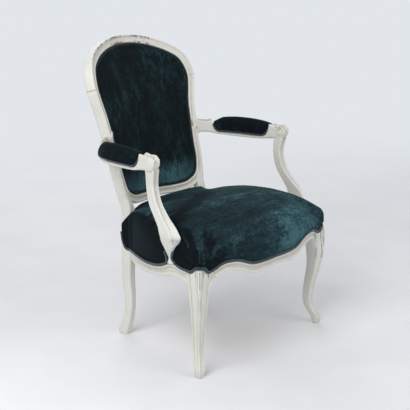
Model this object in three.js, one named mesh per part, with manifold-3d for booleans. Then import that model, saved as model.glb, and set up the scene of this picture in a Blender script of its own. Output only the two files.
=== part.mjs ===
// An upholstered open armchair with a dished back, cabriole legs and serpentine seat rails.
// Sizes are in millimetres and angles in degrees. X runs to the right as seen from the front,
// Y runs towards the back, and Z runs up from the floor. Left and right are as seen from the front.

import * as THREE from 'three';
import { mergeVertices } from 'three/addons/utils/BufferGeometryUtils.js';
import Module from 'manifold-3d';

const wasm = await Module();
wasm.setup();

// Clearances
const gap = 0.3;
const padClearance = 1.3;
const socketEnd = 1;
const overrun = 6;

// Seat frame in plan: the front rail's ends lie on the line Y = 0
const sideFrontHalf = 306;
const frontCornerWidth = 36;
const railReach = sideFrontHalf - frontCornerWidth;
const frontBow = 33;
const sideFront = 43;
const cornerBulgeWidth = 6;
const kneeCornerX = sideFrontHalf + cornerBulgeWidth;
const kneeCornerY = -6;
const sideBow = 24;
const seatDepth = 393;
const stileOuterHalf = 184;

// Seat rails
const kneeHeight = 326;
const railAboveKneeHeight = 19;
const railTop = kneeHeight + railAboveKneeHeight;
const railThickness = 30;
const rebateDepth = 7;
const frontEdgeDropHeight = 39;
const frontEdgeHeight = railTop - frontEdgeDropHeight;
const frontEdgeWave = 27;
const frontShowWood = 25;
const sideEdgeDropHeight = 53;
const sideEdgeHeight = railTop - sideEdgeDropHeight;
const sideEdgeWave = 32;
const sideShowWood = 31;
const railBead = 3;
const rearRailHeight = 62;
const rearRailThickness = 26;
const rearRailArch = 8;

// Front legs
const footInsetWidth = 10.6;
const frontFootX = sideFrontHalf - footInsetWidth;
const frontFootSetback = 16.4;
const kneeHalf = 26;
const kneeThrow = 30;
const kneeDrop = 15;
const legPostHalf = 20.5;
const legPostInsetWidth = 27;
const legPostX = sideFrontHalf - legPostInsetWidth;
const legPostSetback = 30;

// Back posts and rear legs
const stileWidth = 28;
const stileDepth = 39;
const rearKick = 20;
const stileCornerRadius = 6;

// Back
const panelAboveRailHeight = 99;
const panelBottom = railTop + panelAboveRailHeight;
const panelHeight = 456;
const stileBlendDropHeight = 59;
const stileBlendLow = panelBottom - stileBlendDropHeight;
const stileBlendHeight = 70;
const stileBlendHigh = stileBlendLow + stileBlendHeight;
const panelHalfWidth = 207;
const recline = 15.86;
const backSweep = 13;
const backDishRadius = 417;
const backSetback = 49;
const frameFace = 22;
const frameThickness = 34;
const lowerRailHeight = 23;
const beadWidth = 6;
const hollowDepth = 3.4;
const rebateFront = 9;
const rebateRear = 6;
const tongue = 10;

// Arms
const armX = sideFrontHalf;
const armFront = 158;
const armJointInsetWidth = 4;
const armJointX = panelHalfWidth - armJointInsetWidth;
const armAboveRailHeight = 247;
const armUnderside = railTop + armAboveRailHeight;
const armJointRiseHeight = 28;
const armJointHeight = armUnderside + armJointRiseHeight;
const scrollHeight = 46;
const armWoodWidth = 38;
const scrollEyeRadius = 9;
const scrollEyeProud = 1.2;
const scrollEyeSetback = 15;
const neckDropHeight = 2;
const postNeckHeight = railTop - neckDropHeight;
const postNeckSetback = 122;
const postSweep = 64;
const postDepth = 64;
const postWidth = 27;
const postOut = 23;
const postProud = 7;

// Seat upholstery
const seatCrownRiseHeight = 101;
const seatCrown = railTop + seatCrownRiseHeight;
const seatShoulderRiseHeight = 51;
const seatShoulder = railTop + seatShoulderRiseHeight;
const seatShoulderRise = 36;
const seatBulge = 13;
const seatTuckDepth = 36;
const seatRear = seatDepth + seatTuckDepth;
const seatRoll = 10;
const rearTuck = 2;
const velvetThickness = 3;
const canvasThickness = 1.2;
const webbingThickness = 1.6;
const webbingWidth = 58;
const webbingPitch = (stileOuterHalf - stileWidth) / 2;
const crossStart = 71;
const crossEndInsetDepth = 52;
const crossEnd = seatDepth - crossEndInsetDepth;

// Back and arm upholstery
const backPadCrown = 17;
const padEase = 2;
const rearPanelCrown = 6;
const rearPanelThickness = 4;
const armPadWidth = 46;
const armPadHeight = 48;
const weltHeight = 8;
const weltThickness = 4.6;
const armWeltRadius = 2.4;

// Joinery
const tenonLength = 16;
const armTenonLength = 12;
const tenonThickness = 10;
const tenonHeight = 34;
const slipTenonHeight = 14;
const blockHeight = 38;
const blockReach = 46;
const blockThickness = 24;
const blockDrop = 4;
const pegRadius = 3;
const pegLength = 20;
const pegCover = 2.5;

// Finishes
const paintColour = 0xd9d4c6;
const velvetColour = 0x1f3b41;
const gimpColour = 0x3f585c;
const beechColour = 0xb08a5e;
const webColour = 0x8d7a5c;
const canvasColour = 0xb7a88a;

const vector = (x, y, z) => new THREE.Vector3(x, y, z);
const upwards = vector(0, 0, 1);

// A smooth curve through rows of [place, value, value...], read at any place between them
function smoothTable(rows) {
  const columns = rows[0].length - 1;
  return (place) => {
    const last = rows.length - 1;
    const clamped = Math.min(Math.max(place, rows[0][0]), rows[last][0]);
    let row = 0;
    while (row < last - 1 && rows[row + 1][0] < clamped) row += 1;
    const before = rows[Math.max(row - 1, 0)];
    const from = rows[row];
    const to = rows[row + 1];
    const after = rows[Math.min(row + 2, last)];
    const span = to[0] - from[0];
    const part = (clamped - from[0]) / span;
    const square = part * part;
    const cube = square * part;
    const values = [];
    for (let column = 1; column <= columns; column += 1) {
      const slopeFrom = ((to[column] - before[column]) / (to[0] - before[0])) * span;
      const slopeTo = ((after[column] - from[column]) / (after[0] - from[0])) * span;
      values.push(
        (2 * cube - 3 * square + 1) * from[column] + (cube - 2 * square + part) * slopeFrom
        + (3 * square - 2 * cube) * to[column] + (cube - square) * slopeTo,
      );
    }
    return columns === 1 ? values[0] : values;
  };
}

function smoothStep(value, low, high) {
  const part = Math.min(Math.max((value - low) / (high - low), 0), 1);
  return part * part * (3 - 2 * part);
}

function steps(count, from = 0, to = 1) {
  return Array.from({ length: count + 1 }, (_, i) => from + ((to - from) * i) / count);
}

// Six times the volume inside the triangles, positive when the faces point out
function signedVolume(positions, index) {
  let volume = 0;
  for (let i = 0; i < index.length; i += 3) {
    const [a, b, c] = index.slice(i, i + 3).map((corner) => (
      vector(positions[3 * corner], positions[3 * corner + 1], positions[3 * corner + 2])
    ));
    volume += a.dot(b.cross(c));
  }
  return volume;
}

function closedBody(positions, index) {
  if (signedVolume(positions, index) < 0) {
    for (let i = 0; i < index.length; i += 3) [index[i], index[i + 1]] = [index[i + 1], index[i]];
  }
  const geometry = new THREE.BufferGeometry();
  geometry.setAttribute('position', new THREE.Float32BufferAttribute(positions, 3));
  geometry.setIndex(index);
  return geometry;
}

// The triangles of a flat or nearly flat ring, wound like the ring itself
function capTriangles(ring) {
  const normal = vector(0, 0, 0);
  ring.forEach((point, i) => normal.add(point.clone().cross(ring[(i + 1) % ring.length])));
  normal.normalize();
  const sideways = ring[1].clone().sub(ring[0]);
  sideways.addScaledVector(normal, -sideways.dot(normal)).normalize();
  const rise = normal.clone().cross(sideways);
  const flat = ring.map((point) => new THREE.Vector2(point.dot(sideways), point.dot(rise)));
  return THREE.ShapeUtils.triangulateShape(flat, []).map(([a, b, c]) => {
    const turn = flat[b].clone().sub(flat[a]).cross(flat[c].clone().sub(flat[a]));
    return turn < 0 ? [a, c, b] : [a, b, c];
  });
}

// A body through a row of rings with as many points each, closed by flat caps, by a point
// at either end, or back onto its first ring
function loft(rings, { closed = false, startPoint = null, endPoint = null } = {}) {
  const count = rings[0].length;
  const points = rings.flat();
  const index = [];
  const spans = closed ? rings.length : rings.length - 1;
  for (let i = 0; i < spans; i += 1) {
    const here = i * count;
    const next = ((i + 1) % rings.length) * count;
    for (let j = 0; j < count; j += 1) {
      const k = (j + 1) % count;
      index.push(here + j, next + j, next + k, here + j, next + k, here + k);
    }
  }
  const closeEnd = (ring, start, point, reverse) => {
    const triangles = point
      ? ring.map((_, j) => [j, (j + 1) % count, points.push(point) - 1 - start])
      : capTriangles(ring);
    triangles.forEach(([a, b, c]) => {
      index.push(...(reverse ? [start + a, start + c, start + b] : [start + a, start + b, start + c]));
    });
  };
  if (!closed) {
    closeEnd(rings[0], 0, startPoint, false);
    closeEnd(rings.at(-1), (rings.length - 1) * count, endPoint, true);
  }
  return closedBody(points.flatMap((point) => [point.x, point.y, point.z]), index);
}

// Joins and cuts
function toSolid(geometry) {
  const bare = geometry.clone();
  bare.deleteAttribute('normal');
  bare.deleteAttribute('uv');
  const merged = mergeVertices(bare);
  return new wasm.Manifold(new wasm.Mesh({
    numProp: 3,
    vertProperties: new Float32Array(merged.attributes.position.array),
    triVerts: new Uint32Array(merged.index.array),
  }));
}

function toGeometry(solid) {
  const mesh = solid.getMesh();
  const geometry = new THREE.BufferGeometry();
  geometry.setAttribute('position', new THREE.BufferAttribute(new Float32Array(mesh.vertProperties), 3));
  geometry.setIndex(new THREE.BufferAttribute(new Uint32Array(mesh.triVerts), 1));
  return geometry;
}

function cut(geometry, cutters) {
  return toGeometry(cutters.reduce((solid, cutter) => solid.subtract(toSolid(cutter)), toSolid(geometry)));
}

function join(geometry, others) {
  return toGeometry(others.reduce((solid, other) => solid.add(toSolid(other)), toSolid(geometry)));
}

// The main body that is left after a cut, without the crumbs beyond the joint
function mainBody(geometry) {
  const bodies = toSolid(geometry).decompose();
  return toGeometry(bodies.reduce((best, body) => (body.volume() > best.volume() ? body : best)));
}

// The same piece for the other side of the chair, with its faces still pointing out
function mirrored(geometry) {
  const copy = geometry.clone();
  copy.scale(-1, 1, 1);
  const index = copy.index.array;
  for (let i = 0; i < index.length; i += 3) [index[i], index[i + 1]] = [index[i + 1], index[i]];
  return copy;
}

// A section swollen outwards all round, for a cutter that leaves a clearance
function swollen(section, amount) {
  const area = section.reduce((sum, [x, y], i) => {
    const [nextX, nextY] = section[(i + 1) % section.length];
    return sum + x * nextY - nextX * y;
  }, 0);
  return section.map(([x, y], i) => {
    const [beforeX, beforeY] = section.at(i - 1);
    const [afterX, afterY] = section[(i + 1) % section.length];
    const length = Math.hypot(afterX - beforeX, afterY - beforeY) * Math.sign(area);
    return [x + (amount * (afterY - beforeY)) / length, y - (amount * (afterX - beforeX)) / length];
  });
}

// A box with its length along one direction, centred on a point
function bar(centre, along, length, across, width, height) {
  const ahead = along.clone().normalize();
  const side = across.clone().addScaledVector(ahead, -across.dot(ahead)).normalize();
  const box = new THREE.BoxGeometry(length, width, height);
  box.applyMatrix4(new THREE.Matrix4().makeBasis(ahead, side, ahead.clone().cross(side)));
  box.translate(centre.x, centre.y, centre.z);
  return box;
}

// A tenon that leaves its shoulder at a point, and the socket that takes it
function tenonAt(point, along, across, width, height, length = tenonLength) {
  const ahead = along.clone().normalize();
  const middle = point.clone().addScaledVector(ahead, (length - overrun) / 2);
  const deeper = point.clone().addScaledVector(ahead, (length + socketEnd - overrun) / 2);
  const depth = length + socketEnd + overrun;
  return {
    tenon: bar(middle, ahead, length + overrun, across, width, height),
    socket: bar(deeper, ahead, depth, across, width + 2 * gap, height + 2 * gap),
  };
}

// A rounded section about a centre: power 2 is an ellipse and higher powers are squarer
function ovalRing(centre, side, rise, halfWidth, halfHeight, power, count) {
  return Array.from({ length: count }, (_, i) => {
    const angle = (2 * Math.PI * (i + 0.5)) / count;
    const across = Math.sign(Math.cos(angle)) * Math.abs(Math.cos(angle)) ** (2 / power);
    const above = Math.sign(Math.sin(angle)) * Math.abs(Math.sin(angle)) ** (2 / power);
    return centre.clone().addScaledVector(side, halfWidth * across).addScaledVector(rise, halfHeight * above);
  });
}

// A cord of oval section along points, each with the direction that faces outwards there
function cord(stations, width, thickness, sides, closed) {
  const last = stations.length - 1;
  const rings = stations.map(({ point, outward }, i) => {
    const next = closed ? stations[(i + 1) % stations.length] : stations[Math.min(i + 1, last)];
    const before = closed ? stations.at(i - 1) : stations[Math.max(i - 1, 0)];
    const ahead = next.point.clone().sub(before.point).normalize();
    const side = outward.clone().addScaledVector(ahead, -outward.dot(ahead)).normalize();
    return ovalRing(point, side, ahead.clone().cross(side), thickness / 2, width / 2, 2, sides);
  });
  return loft(rings, { closed });
}

// The back is a dished, reclined surface, read at a width, a height and a depth behind its face
function backPoint(across, height, depth) {
  const rise = (height - panelBottom) / panelHeight;
  const lean = Math.tan(THREE.MathUtils.degToRad(recline));
  const slope = lean + (2 * backSweep * rise) / panelHeight;
  const dish = across ** 2 / (2 * backDishRadius);
  const straight = seatDepth + backSetback + (height - panelBottom) * lean;
  const face = straight + backSweep * rise ** 2 - dish;
  const normal = vector(across / backDishRadius, 1, -slope).normalize();
  return vector(across, face, height).addScaledVector(normal, depth);
}

// Sight edge of the back panel, in shares of its half width and height
const panelShares = [
  [0, 0], [0.34, -0.007], [0.60, 0.005], [0.77, 0.055], [0.835, 0.15], [0.855, 0.28], [0.885, 0.42],
  [0.92, 0.56], [0.97, 0.66], [1, 0.735], [0.985, 0.80], [0.92, 0.868], [0.78, 0.915], [0.57, 0.957],
  [0.28, 0.99], [0, 1],
];
const panelLoop = new THREE.CatmullRomCurve3(
  [...panelShares, ...panelShares.slice(1, -1).reverse().map(([x, z]) => [-x, z])]
    .map(([x, z]) => vector(x * panelHalfWidth, 0, panelBottom + z * panelHeight)),
  true,
  'centripetal',
);
const panelLength = panelLoop.getLength();
const panelMiddle = panelBottom + panelHeight / 2;

// A point beside the sight edge: part of the way round, a distance outwards and a depth behind
function beside(part, outwards, depth) {
  const round = ((part % 1) + 1) % 1;
  const sight = panelLoop.getPointAt(round);
  const along = panelLoop.getTangentAt(round);
  const stretch = Math.hypot(1, sight.x / backDishRadius);
  return backPoint(sight.x + (along.z * outwards) / stretch, sight.z - along.x * outwards, depth);
}

// A point inside the sight edge, drawn in towards the middle of the panel
function withinPanel(part, share, depth) {
  const sight = panelLoop.getPointAt(((part % 1) + 1) % 1);
  return backPoint(sight.x * share, panelMiddle + (sight.z - panelMiddle) * share, depth);
}

// Moulded section of the back frame: distance outwards from the sight edge, and depth
function mouldedSection(face, thickness) {
  return [
    [0, rebateFront], [0, beadWidth / 3], [beadWidth / 3, 0], [beadWidth * 0.8, 0],
    [beadWidth * 1.1, hollowDepth * 0.8], [face / 2, hollowDepth], [face - beadWidth, hollowDepth * 0.8],
    [face - beadWidth * 0.75, 0], [face - beadWidth / 4, 0], [face, beadWidth / 2],
    [face, thickness * 0.7], [face - beadWidth / 2, thickness - beadWidth / 4],
    [face - beadWidth, thickness], [0, thickness], [0, thickness - rebateRear],
    [-tongue, thickness - rebateRear], [-tongue, rebateFront],
  ];
}

// Plain section of the post with rounded corners, point for point like the moulded one
function postSection(width, depth) {
  const r = stileCornerRadius;
  const c = r * (1 - Math.SQRT1_2);
  return [
    [0, r], [c, c], [r, 0], [width * 0.35, 0], [width * 0.45, 0], [width * 0.55, 0],
    [width * 0.65, 0], [width - r, 0], [width - c, c], [width, r], [width, depth - r],
    [width - c, depth - c], [width - r, depth], [r, depth], [c, depth - c],
    [0, depth - r], [0, depth / 2],
  ];
}

// The post's inner edge below the panel, in shares of the panel's half width, and its face, in
// shares of the frame's face, against height in shares of the panel's height above its bottom
const lowEdgeShares = [[-0.13, 0.75], [-0.02, 0.758], [0.05, 0.79]];
const postFaceShares = [
  [-0.13, 1.2], [-0.02, 1.16], [0.05, 1.08], [0.10, 1.0], [0.16, 0.9], [0.28, 0.89], [0.42, 0.91],
  [0.56, 0.93], [0.66, 0.95], [0.735, 0.98],
];
const crestStart = steps(400, 0.2, 0.45).reduce((best, part) => (
  panelLoop.getPointAt(part).x > panelLoop.getPointAt(best).x ? part : best
));
const shoulderHeight = panelLoop.getPointAt(crestStart).z;
const lowerRailReach = steps(200, 0, 0.25).find((part) => (
  panelLoop.getPointAt(part).z > panelBottom + panelHeight * 0.1
));
const postEdge = smoothTable([
  ...lowEdgeShares.map(([rise, share]) => [panelBottom + panelHeight * rise, panelHalfWidth * share]),
  ...steps(40, lowerRailReach, crestStart).map((part) => {
    const sight = panelLoop.getPointAt(part);
    return [sight.z, sight.x];
  }),
]);

// The rear leg against height in shares of the rail's top: width and depth in shares of the
// post, then set-back and outward kick in shares of the rear kick
const rearLegShares = [
  [0, 0.88, 0.84, 1.05, 0.2], [0.035, 1.04, 1, 0.85, 0.3], [0.122, 0.95, 0.9, 0.45, 0.18],
  [0.2, 0.86, 0.8, 0.17, 0.08], [0.29, 0.84, 0.81, 0, 0.03], [0.38, 0.88, 0.86, 0.02, 0],
  [0.47, 0.93, 0.92, 0.15, 0], [0.58, 0.96, 0.95, 0.25, 0], [0.74, 1, 0.98, 0.15, 0],
  [0.84, 1, 1, 0.08, 0], [1, 1, 1, 0, 0], [1.5, 1, 1, 0, 0],
];

// The frame's face grows a little round the shoulders of the crest
const crestFaceShares = [[0.26, 0.98], [0.31, 1.02], [0.36, 1.18], [0.42, 1.14], [0.5, 1.1]];
const crestFace = (part) => frameFace * smoothTable(crestFaceShares)(part > 0.5 ? 1 - part : part);

// One ring of the right-hand post and rear leg, swollen where it serves as a cutter
function stileRing(height, grow = 0) {
  const [widthShare, depthShare, backShare, outShare] = smoothTable(rearLegShares)(height / railTop);
  const width = stileWidth * widthShare;
  const outer = stileOuterHalf + rearKick * outShare;
  const front = seatDepth + rearKick * backShare;
  const legRing = swollen(postSection(width, stileDepth * depthShare), grow)
    .map(([across, depth]) => vector(outer - width + across, front + depth, height));
  const blend = smoothStep(height, stileBlendLow, stileBlendHigh);
  if (blend === 0) return legRing;
  const inner = postEdge(height);
  const face = frameFace * smoothTable(postFaceShares)((height - panelBottom) / panelHeight);
  const stretch = Math.hypot(1, inner / backDishRadius);
  const relief = smoothStep(height, stileBlendHigh, stileBlendHigh + frameThickness);
  const moulded = mouldedSection(face, frameThickness);
  const mixed = postSection(face, frameThickness).map(([across, depth], i) => [
    across + (moulded[i][0] - across) * relief,
    depth + (moulded[i][1] - depth) * relief,
  ]);
  const backRing = swollen(mixed, grow)
    .map(([across, depth]) => backPoint(inner + across / stretch, height, depth));
  return legRing.map((point, i) => point.lerp(backRing[i], blend));
}

const stileHeightShares = [
  0, 0.02, 0.05, 0.085, 0.12, 0.15, 0.19, 0.25, 0.33, 0.42, 0.49, 0.52, 0.55, 0.575, 0.6,
  0.615, 0.63, 0.66, 0.7, 0.75, 0.8, 0.85, 0.9, 0.95, 1,
];
const stileBlank = (grow = 0, shares = stileHeightShares) => (
  loft(shares.map((share) => stileRing(share * shoulderHeight, grow)))
);

// Seat frame edges: the velvet's lower edge as shares of its wave, and the rail's under edge
// as shares of the show wood, along the front rail's half and along the side rail
const frontEdgeShares = [
  [0, 0], [0.2, -0.05], [0.4, 0.08], [0.6, 0.8], [0.75, 1], [0.85, 0.88], [0.93, 0.56], [1, 0.3],
];
const frontUnderShares = [
  [0, 0.96], [0.17, 1.06], [0.33, 1.2], [0.47, 0.8], [0.55, 0.4], [0.62, 0.15], [0.72, -0.12],
  [0.8, -0.12], [0.87, 0.1], [0.93, 0.55], [0.965, 1.15], [1, 1.9],
];
const sideEdgeShares = [
  [0, 0.73], [0.1, 0.8], [0.17, 0.98], [0.235, 1], [0.28, 0.8], [0.36, 0.4], [0.435, 0.16],
  [0.52, 0], [0.61, -0.13], [0.72, -0.19], [0.845, -0.22], [1, -0.3],
];
const sideUnderShares = [
  [0, 0.65], [0.045, 0.28], [0.1, 0.08], [0.16, 0.07], [0.222, 0.17], [0.3, 0.38], [0.39, 0.64],
  [0.487, 0.86], [0.576, 0.98], [0.677, 1.1], [0.77, 1.16], [0.878, 1.2], [1, 1.15],
];
const frontEdge = (share) => frontEdgeHeight + frontEdgeWave * smoothTable(frontEdgeShares)(share);
const frontUnder = (share) => frontEdgeHeight - frontShowWood * smoothTable(frontUnderShares)(share);
const sideEdge = (share) => sideEdgeHeight + sideEdgeWave * smoothTable(sideEdgeShares)(share);
const sideUnder = (share) => sideEdgeHeight - sideShowWood * smoothTable(sideUnderShares)(share);

// The right-hand half of the outline in plan, with the direction that faces outwards
function frontLine(share) {
  const point = vector(railReach * share, -frontBow * (1 - share ** 2), 0);
  return { point, outward: vector(2 * frontBow * share, -railReach, 0).normalize() };
}

function sideLine(share) {
  const length = seatDepth - sideFront;
  const lean = stileOuterHalf - sideFrontHalf;
  const x = sideFrontHalf + lean * share + 4 * sideBow * share * (1 - share);
  const slope = lean + 4 * sideBow * (1 - 2 * share);
  const tilt = slope * (1 - smoothStep(share, 0.9, 1));
  const point = vector(x, sideFront + length * share, 0);
  return { point, outward: vector(length, -tilt, 0).normalize() };
}

function cornerLine(share) {
  const curve = new THREE.QuadraticBezierCurve3(
    frontLine(1).point,
    vector(kneeCornerX, kneeCornerY, 0),
    sideLine(0).point,
  );
  const along = curve.getTangent(share);
  return { point: curve.getPoint(share), outward: vector(along.y, -along.x, 0) };
}

const shifted = ({ point, outward }, out, height) => (
  vector(point.x, point.y, height).addScaledVector(outward, out)
);

// Rail section: distance out from the outline against height, with its moulding's strength
function railSection(edge, under, relief) {
  const show = edge - under;
  const proud = railBead * relief;
  return [
    [-rebateDepth, edge], [proud / 3, edge], [proud * 0.9, edge - show * 0.1],
    [proud * 0.6, edge - show * 0.24], [-proud / 2, edge - show * 0.36],
    [-proud / 2, edge - show * 0.55], [proud * 0.4, edge - show * 0.7], [proud, edge - show * 0.82],
    [proud * 0.8, edge - show * 0.95], [-railBead / 2, under],
    [-rebateDepth * 1.6, under + railBead / 2],
    [-railThickness, under + show * 0.5], [-railThickness, railTop], [-rebateDepth, railTop],
  ];
}

const railRing = (line, edge, under, relief, grow) => (
  swollen(railSection(edge, under, relief), grow).map(([out, height]) => shifted(line, out, height))
);

const mirrorLine = ({ point, outward }) => ({
  point: point.clone().setX(-point.x),
  outward: outward.clone().setX(-outward.x),
});

const frontSteps = 11;
const sideShares = [
  0, 0.05, 0.1, 0.15, 0.2, 0.255, 0.31, 0.38, 0.46, 0.54, 0.62, 0.7, 0.78, 0.86, 0.93, 1,
];
function frontRailBlank(grow = 0) {
  return loft(steps(2 * frontSteps, -1, 1).map((share) => {
    const size = Math.abs(share);
    const line = share < 0 ? mirrorLine(frontLine(size)) : frontLine(size);
    return railRing(line, frontEdge(size), frontUnder(size), 1, grow);
  }));
}

function sideRailBlank(grow = 0) {
  const rings = sideShares.map((share) => (
    railRing(sideLine(share), sideEdge(share), sideUnder(share), 1 - smoothStep(share, 0.75, 1), grow)
  ));
  const backFace = gap - grow;
  rings.at(-1).forEach((point) => point.setY(seatDepth - backFace));
  return loft(rings);
}

// Front leg: the square section's outer half carries a bead on each corner and a hollow on
// each face, in shares of its half width, as [outwards, forwards]
const legFaceShares = [
  [-1, 0.72], [-0.94, 0.95], [-0.7, 1], [-0.52, 0.88], [0, 0.84], [0.42, 0.89], [0.6, 1], [0.88, 1],
];
const legSectionShares = [
  [-1, -0.6], ...legFaceShares, ...legFaceShares.slice().reverse().map(([q, p]) => [p, q]),
  [-0.6, -1], [-0.92, -0.92],
];

// Front leg against height in shares of the knee's: throw along the diagonal and half width
const frontLegShares = [
  [0, -0.02, 0.36], [0.037, -0.05, 0.446], [0.061, -0.08, 0.46], [0.095, -0.25, 0.473],
  [0.15, -0.62, 0.477], [0.215, -0.9, 0.488], [0.3, -0.987, 0.504], [0.38, -0.89, 0.535],
  [0.46, -0.75, 0.588], [0.53, -0.577, 0.638], [0.617, -0.42, 0.692], [0.68, -0.36, 0.754],
  [0.79, -0.35, 0.846], [0.862, -0.4, 0.923], [0.925, -0.45, 0.97], [1, -0.533, 1],
];

function frontLegBlank(grow = 0) {
  const shape = smoothTable(frontLegShares);
  const foot = vector(frontFootX, frontFootSetback, 0);
  const diagonal = vector(1, -1, 0).normalize();
  const ringAt = (share) => {
    const [throwShare, halfShare] = shape(share);
    const centre = foot.clone().addScaledVector(diagonal, kneeThrow * throwShare);
    const half = kneeHalf * halfShare + grow;
    return legSectionShares.map(([q, p]) => (
      vector(centre.x + q * half, centre.y - p * half, kneeHeight * share)
    ));
  };
  const rings = [0, 0.02, 0.037, 0.061, 0.08, 0.11, 0.15, 0.19, 0.24, 0.3, 0.36, 0.42, 0.5, 0.58, 0.66,
    0.74, 0.82, 0.88, 0.925].map(ringAt);
  const drop = ([q, p]) => kneeDrop * (1 - Math.max(0, (q + p) / 2));
  const kneeTop = ringAt(1).map((point, i) => point.setZ(kneeHeight + grow - drop(legSectionShares[i])));
  const postRing = (height) => legSectionShares.map(([q, p], i) => {
    const cornerPower = 8;
    const sum = Math.abs(q) ** cornerPower + Math.abs(p) ** cornerPower;
    const reach = (legPostHalf + grow) / sum ** (1 / cornerPower);
    return vector(legPostX + q * reach, legPostSetback - p * reach, height(i));
  });
  return loft([...rings, kneeTop, postRing((i) => kneeTop[i].z), postRing(() => railTop + grow)]);
}

// Arm support against rise in shares of its height above the neck: set-back in shares of its
// sweep, depth in shares of its base, and outward lean in shares of its throw
const postShares = [
  [-0.078, 0, 0.47, 0], [-0.052, 0, 0.34, 0], [-0.028, 0, 0.26, 0], [0, 0, 0.23, 0],
  [0.036, 0, 0.32, 0.12], [0.108, -0.03, 0.56, 0.4], [0.2, -0.08, 0.87, 0.74], [0.26, -0.15, 1, 0.95],
  [0.307, -0.09, 0.96, 1], [0.375, 0.05, 0.83, 0.97], [0.466, 0.36, 0.64, 0.86], [0.625, 0.8, 0.49, 0.7],
  [0.81, 1, 0.43, 0.6], [0.92, 0.99, 0.46, 0.66], [1, 0.95, 0.54, 0.75],
];
const neckShare = (postNeckSetback - sideFront) / (seatDepth - sideFront);
const neckOuter = sideLine(neckShare).point.x + postProud;

function postRingAt(share, grow = 0) {
  const [sweepShare, depthShare, outShare] = smoothTable(postShares)(share);
  const height = postNeckHeight + (armUnderside - postNeckHeight) * share;
  const centre = vector(
    neckOuter + postOut * outShare - postWidth / 2,
    postNeckSetback + postSweep * sweepShare,
    height,
  );
  const sectionPower = 3.2;
  const sectionPoints = 14;
  return ovalRing(
    centre, vector(1, 0, 0), vector(0, 1, 0),
    postWidth / 2 + grow, (postDepth * depthShare) / 2 + grow, sectionPower, sectionPoints,
  );
}

const neckFoot = (sideEdge(neckShare) + gap - postNeckHeight) / (armUnderside - postNeckHeight);
function postBlank(grow = 0, some = null) {
  const shares = some ?? [neckFoot, -0.05, -0.03, 0, 0.036, 0.07, 0.108, 0.15, 0.2, 0.26, 0.307, 0.34, 0.375,
    0.42, 0.466, 0.54, 0.625, 0.72, 0.81, 0.92, 1];
  return loft(shares.map((share) => postRingAt(share, grow)));
}

// Armrest against its run from the scroll to the back post: inward sweep in shares of the
// width between them, top and under edges in shares of the scroll's height, and wood width
const armShares = [
  [0, -0.005, 0.86, 0.2, 0.62], [0.02, -0.005, 0.96, 0.08, 0.7], [0.06, -0.004, 1.01, 0.02, 0.76],
  [0.12, 0, 1.02, 0, 0.8], [0.19, 0.005, 0.99, -0.03, 0.86], [0.245, 0.012, 0.92, -0.09, 0.97],
  [0.3, 0.02, 0.9, -0.13, 1], [0.5, 0.085, 0.9, -0.17, 1], [0.65, 0.16, 0.9, -0.17, 1],
  [0.78, 0.29, 0.92, -0.13, 0.94], [0.86, 0.43, 0.95, -0.07, 0.85], [0.905, 0.55, 0.98, -0.02, 0.78],
  [0.94, 0.7, 1.0, 0.04, 0.66], [0.98, 0.9, 1.08, 0.02, 0.66], [1, 1, 1.2, -0.06, 0.74],
  [1.03, 1.07, 1.3, -0.14, 0.8],
];
const armShape = smoothTable(armShares);
const armJoint = backPoint(armJointX, armJointHeight, frameThickness / 2);
const armRun = armJoint.y - armFront;

// The pad sits in a notch in the armrest's top
const padSeatShare = 0.1;
const notchShares = { from: 0.228, to: 0.9, ramp: 0.012 };

function armPlace(share) {
  const [inShare, fullShare, underShare, widthShare] = armShape(share);
  const { from, to, ramp } = notchShares;
  const notch = smoothStep(share, from, from + ramp) * (1 - smoothStep(share, to - ramp, to));
  const topShare = fullShare + (padSeatShare - fullShare) * notch;
  return {
    x: armX - (armX - armJointX) * inShare,
    y: armFront + armRun * share,
    top: armUnderside + scrollHeight * topShare,
    under: armUnderside + scrollHeight * underShare,
    half: (armWoodWidth * widthShare) / 2,
  };
}

function armRing(share, grow = 0) {
  const here = armPlace(share);
  const step = 0.01;
  const ahead = armPlace(share + step);
  const behind = armPlace(Math.max(share - step, 0));
  const along = vector(ahead.x - behind.x, ahead.y - behind.y, 0).normalize();
  const side = vector(along.y, -along.x, 0);
  const centre = vector(here.x, here.y, (here.top + here.under) / 2);
  const sectionPower = 4;
  const sectionPoints = 14;
  return ovalRing(
    centre, side, upwards, here.half + grow, (here.top - here.under) / 2 + grow, sectionPower, sectionPoints,
  );
}

function armBlank(grow = 0) {
  const shares = [0, 0.02, 0.06, 0.12, 0.19, 0.228, 0.24, 0.32, 0.42, 0.53, 0.64, 0.72, 0.79, 0.84,
    0.888, 0.9, 0.925, 0.95, 0.975, 1, 1.03];
  return loft(shares.map((share) => armRing(share, grow)));
}

const bothSides = (geometry) => [geometry, mirrored(geometry)];
const crossways = vector(1, 0, 0);
const backwards = vector(0, 1, 0);

// Joints of the right-hand side: each tenon belongs to the piece named first
function seatJoints() {
  const tenonMiddle = railTop - tenonHeight;
  const faceGap = legPostHalf + gap;
  const offCentre = legPostHalf / 2;
  const frontCentre = vector(legPostX - faceGap, legPostSetback - offCentre, tenonMiddle);
  const sideCentre = vector(legPostX + offCentre, legPostSetback + faceGap, tenonMiddle);
  const rearCentre = vector(stileOuterHalf - stileWidth / 2, seatDepth - gap, tenonMiddle);
  const rearRailCentre = vector(stileOuterHalf - stileWidth - gap, rearRailLine, tenonMiddle);
  return {
    frontRail: tenonAt(frontCentre, crossways, backwards, tenonThickness, tenonHeight),
    sideFrontJoint: tenonAt(sideCentre, backwards.clone().negate(), crossways, tenonThickness, tenonHeight),
    sideRear: tenonAt(rearCentre, backwards, crossways, tenonThickness, tenonHeight),
    rearRail: tenonAt(rearRailCentre, crossways, backwards, tenonThickness, tenonHeight),
  };
}

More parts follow.
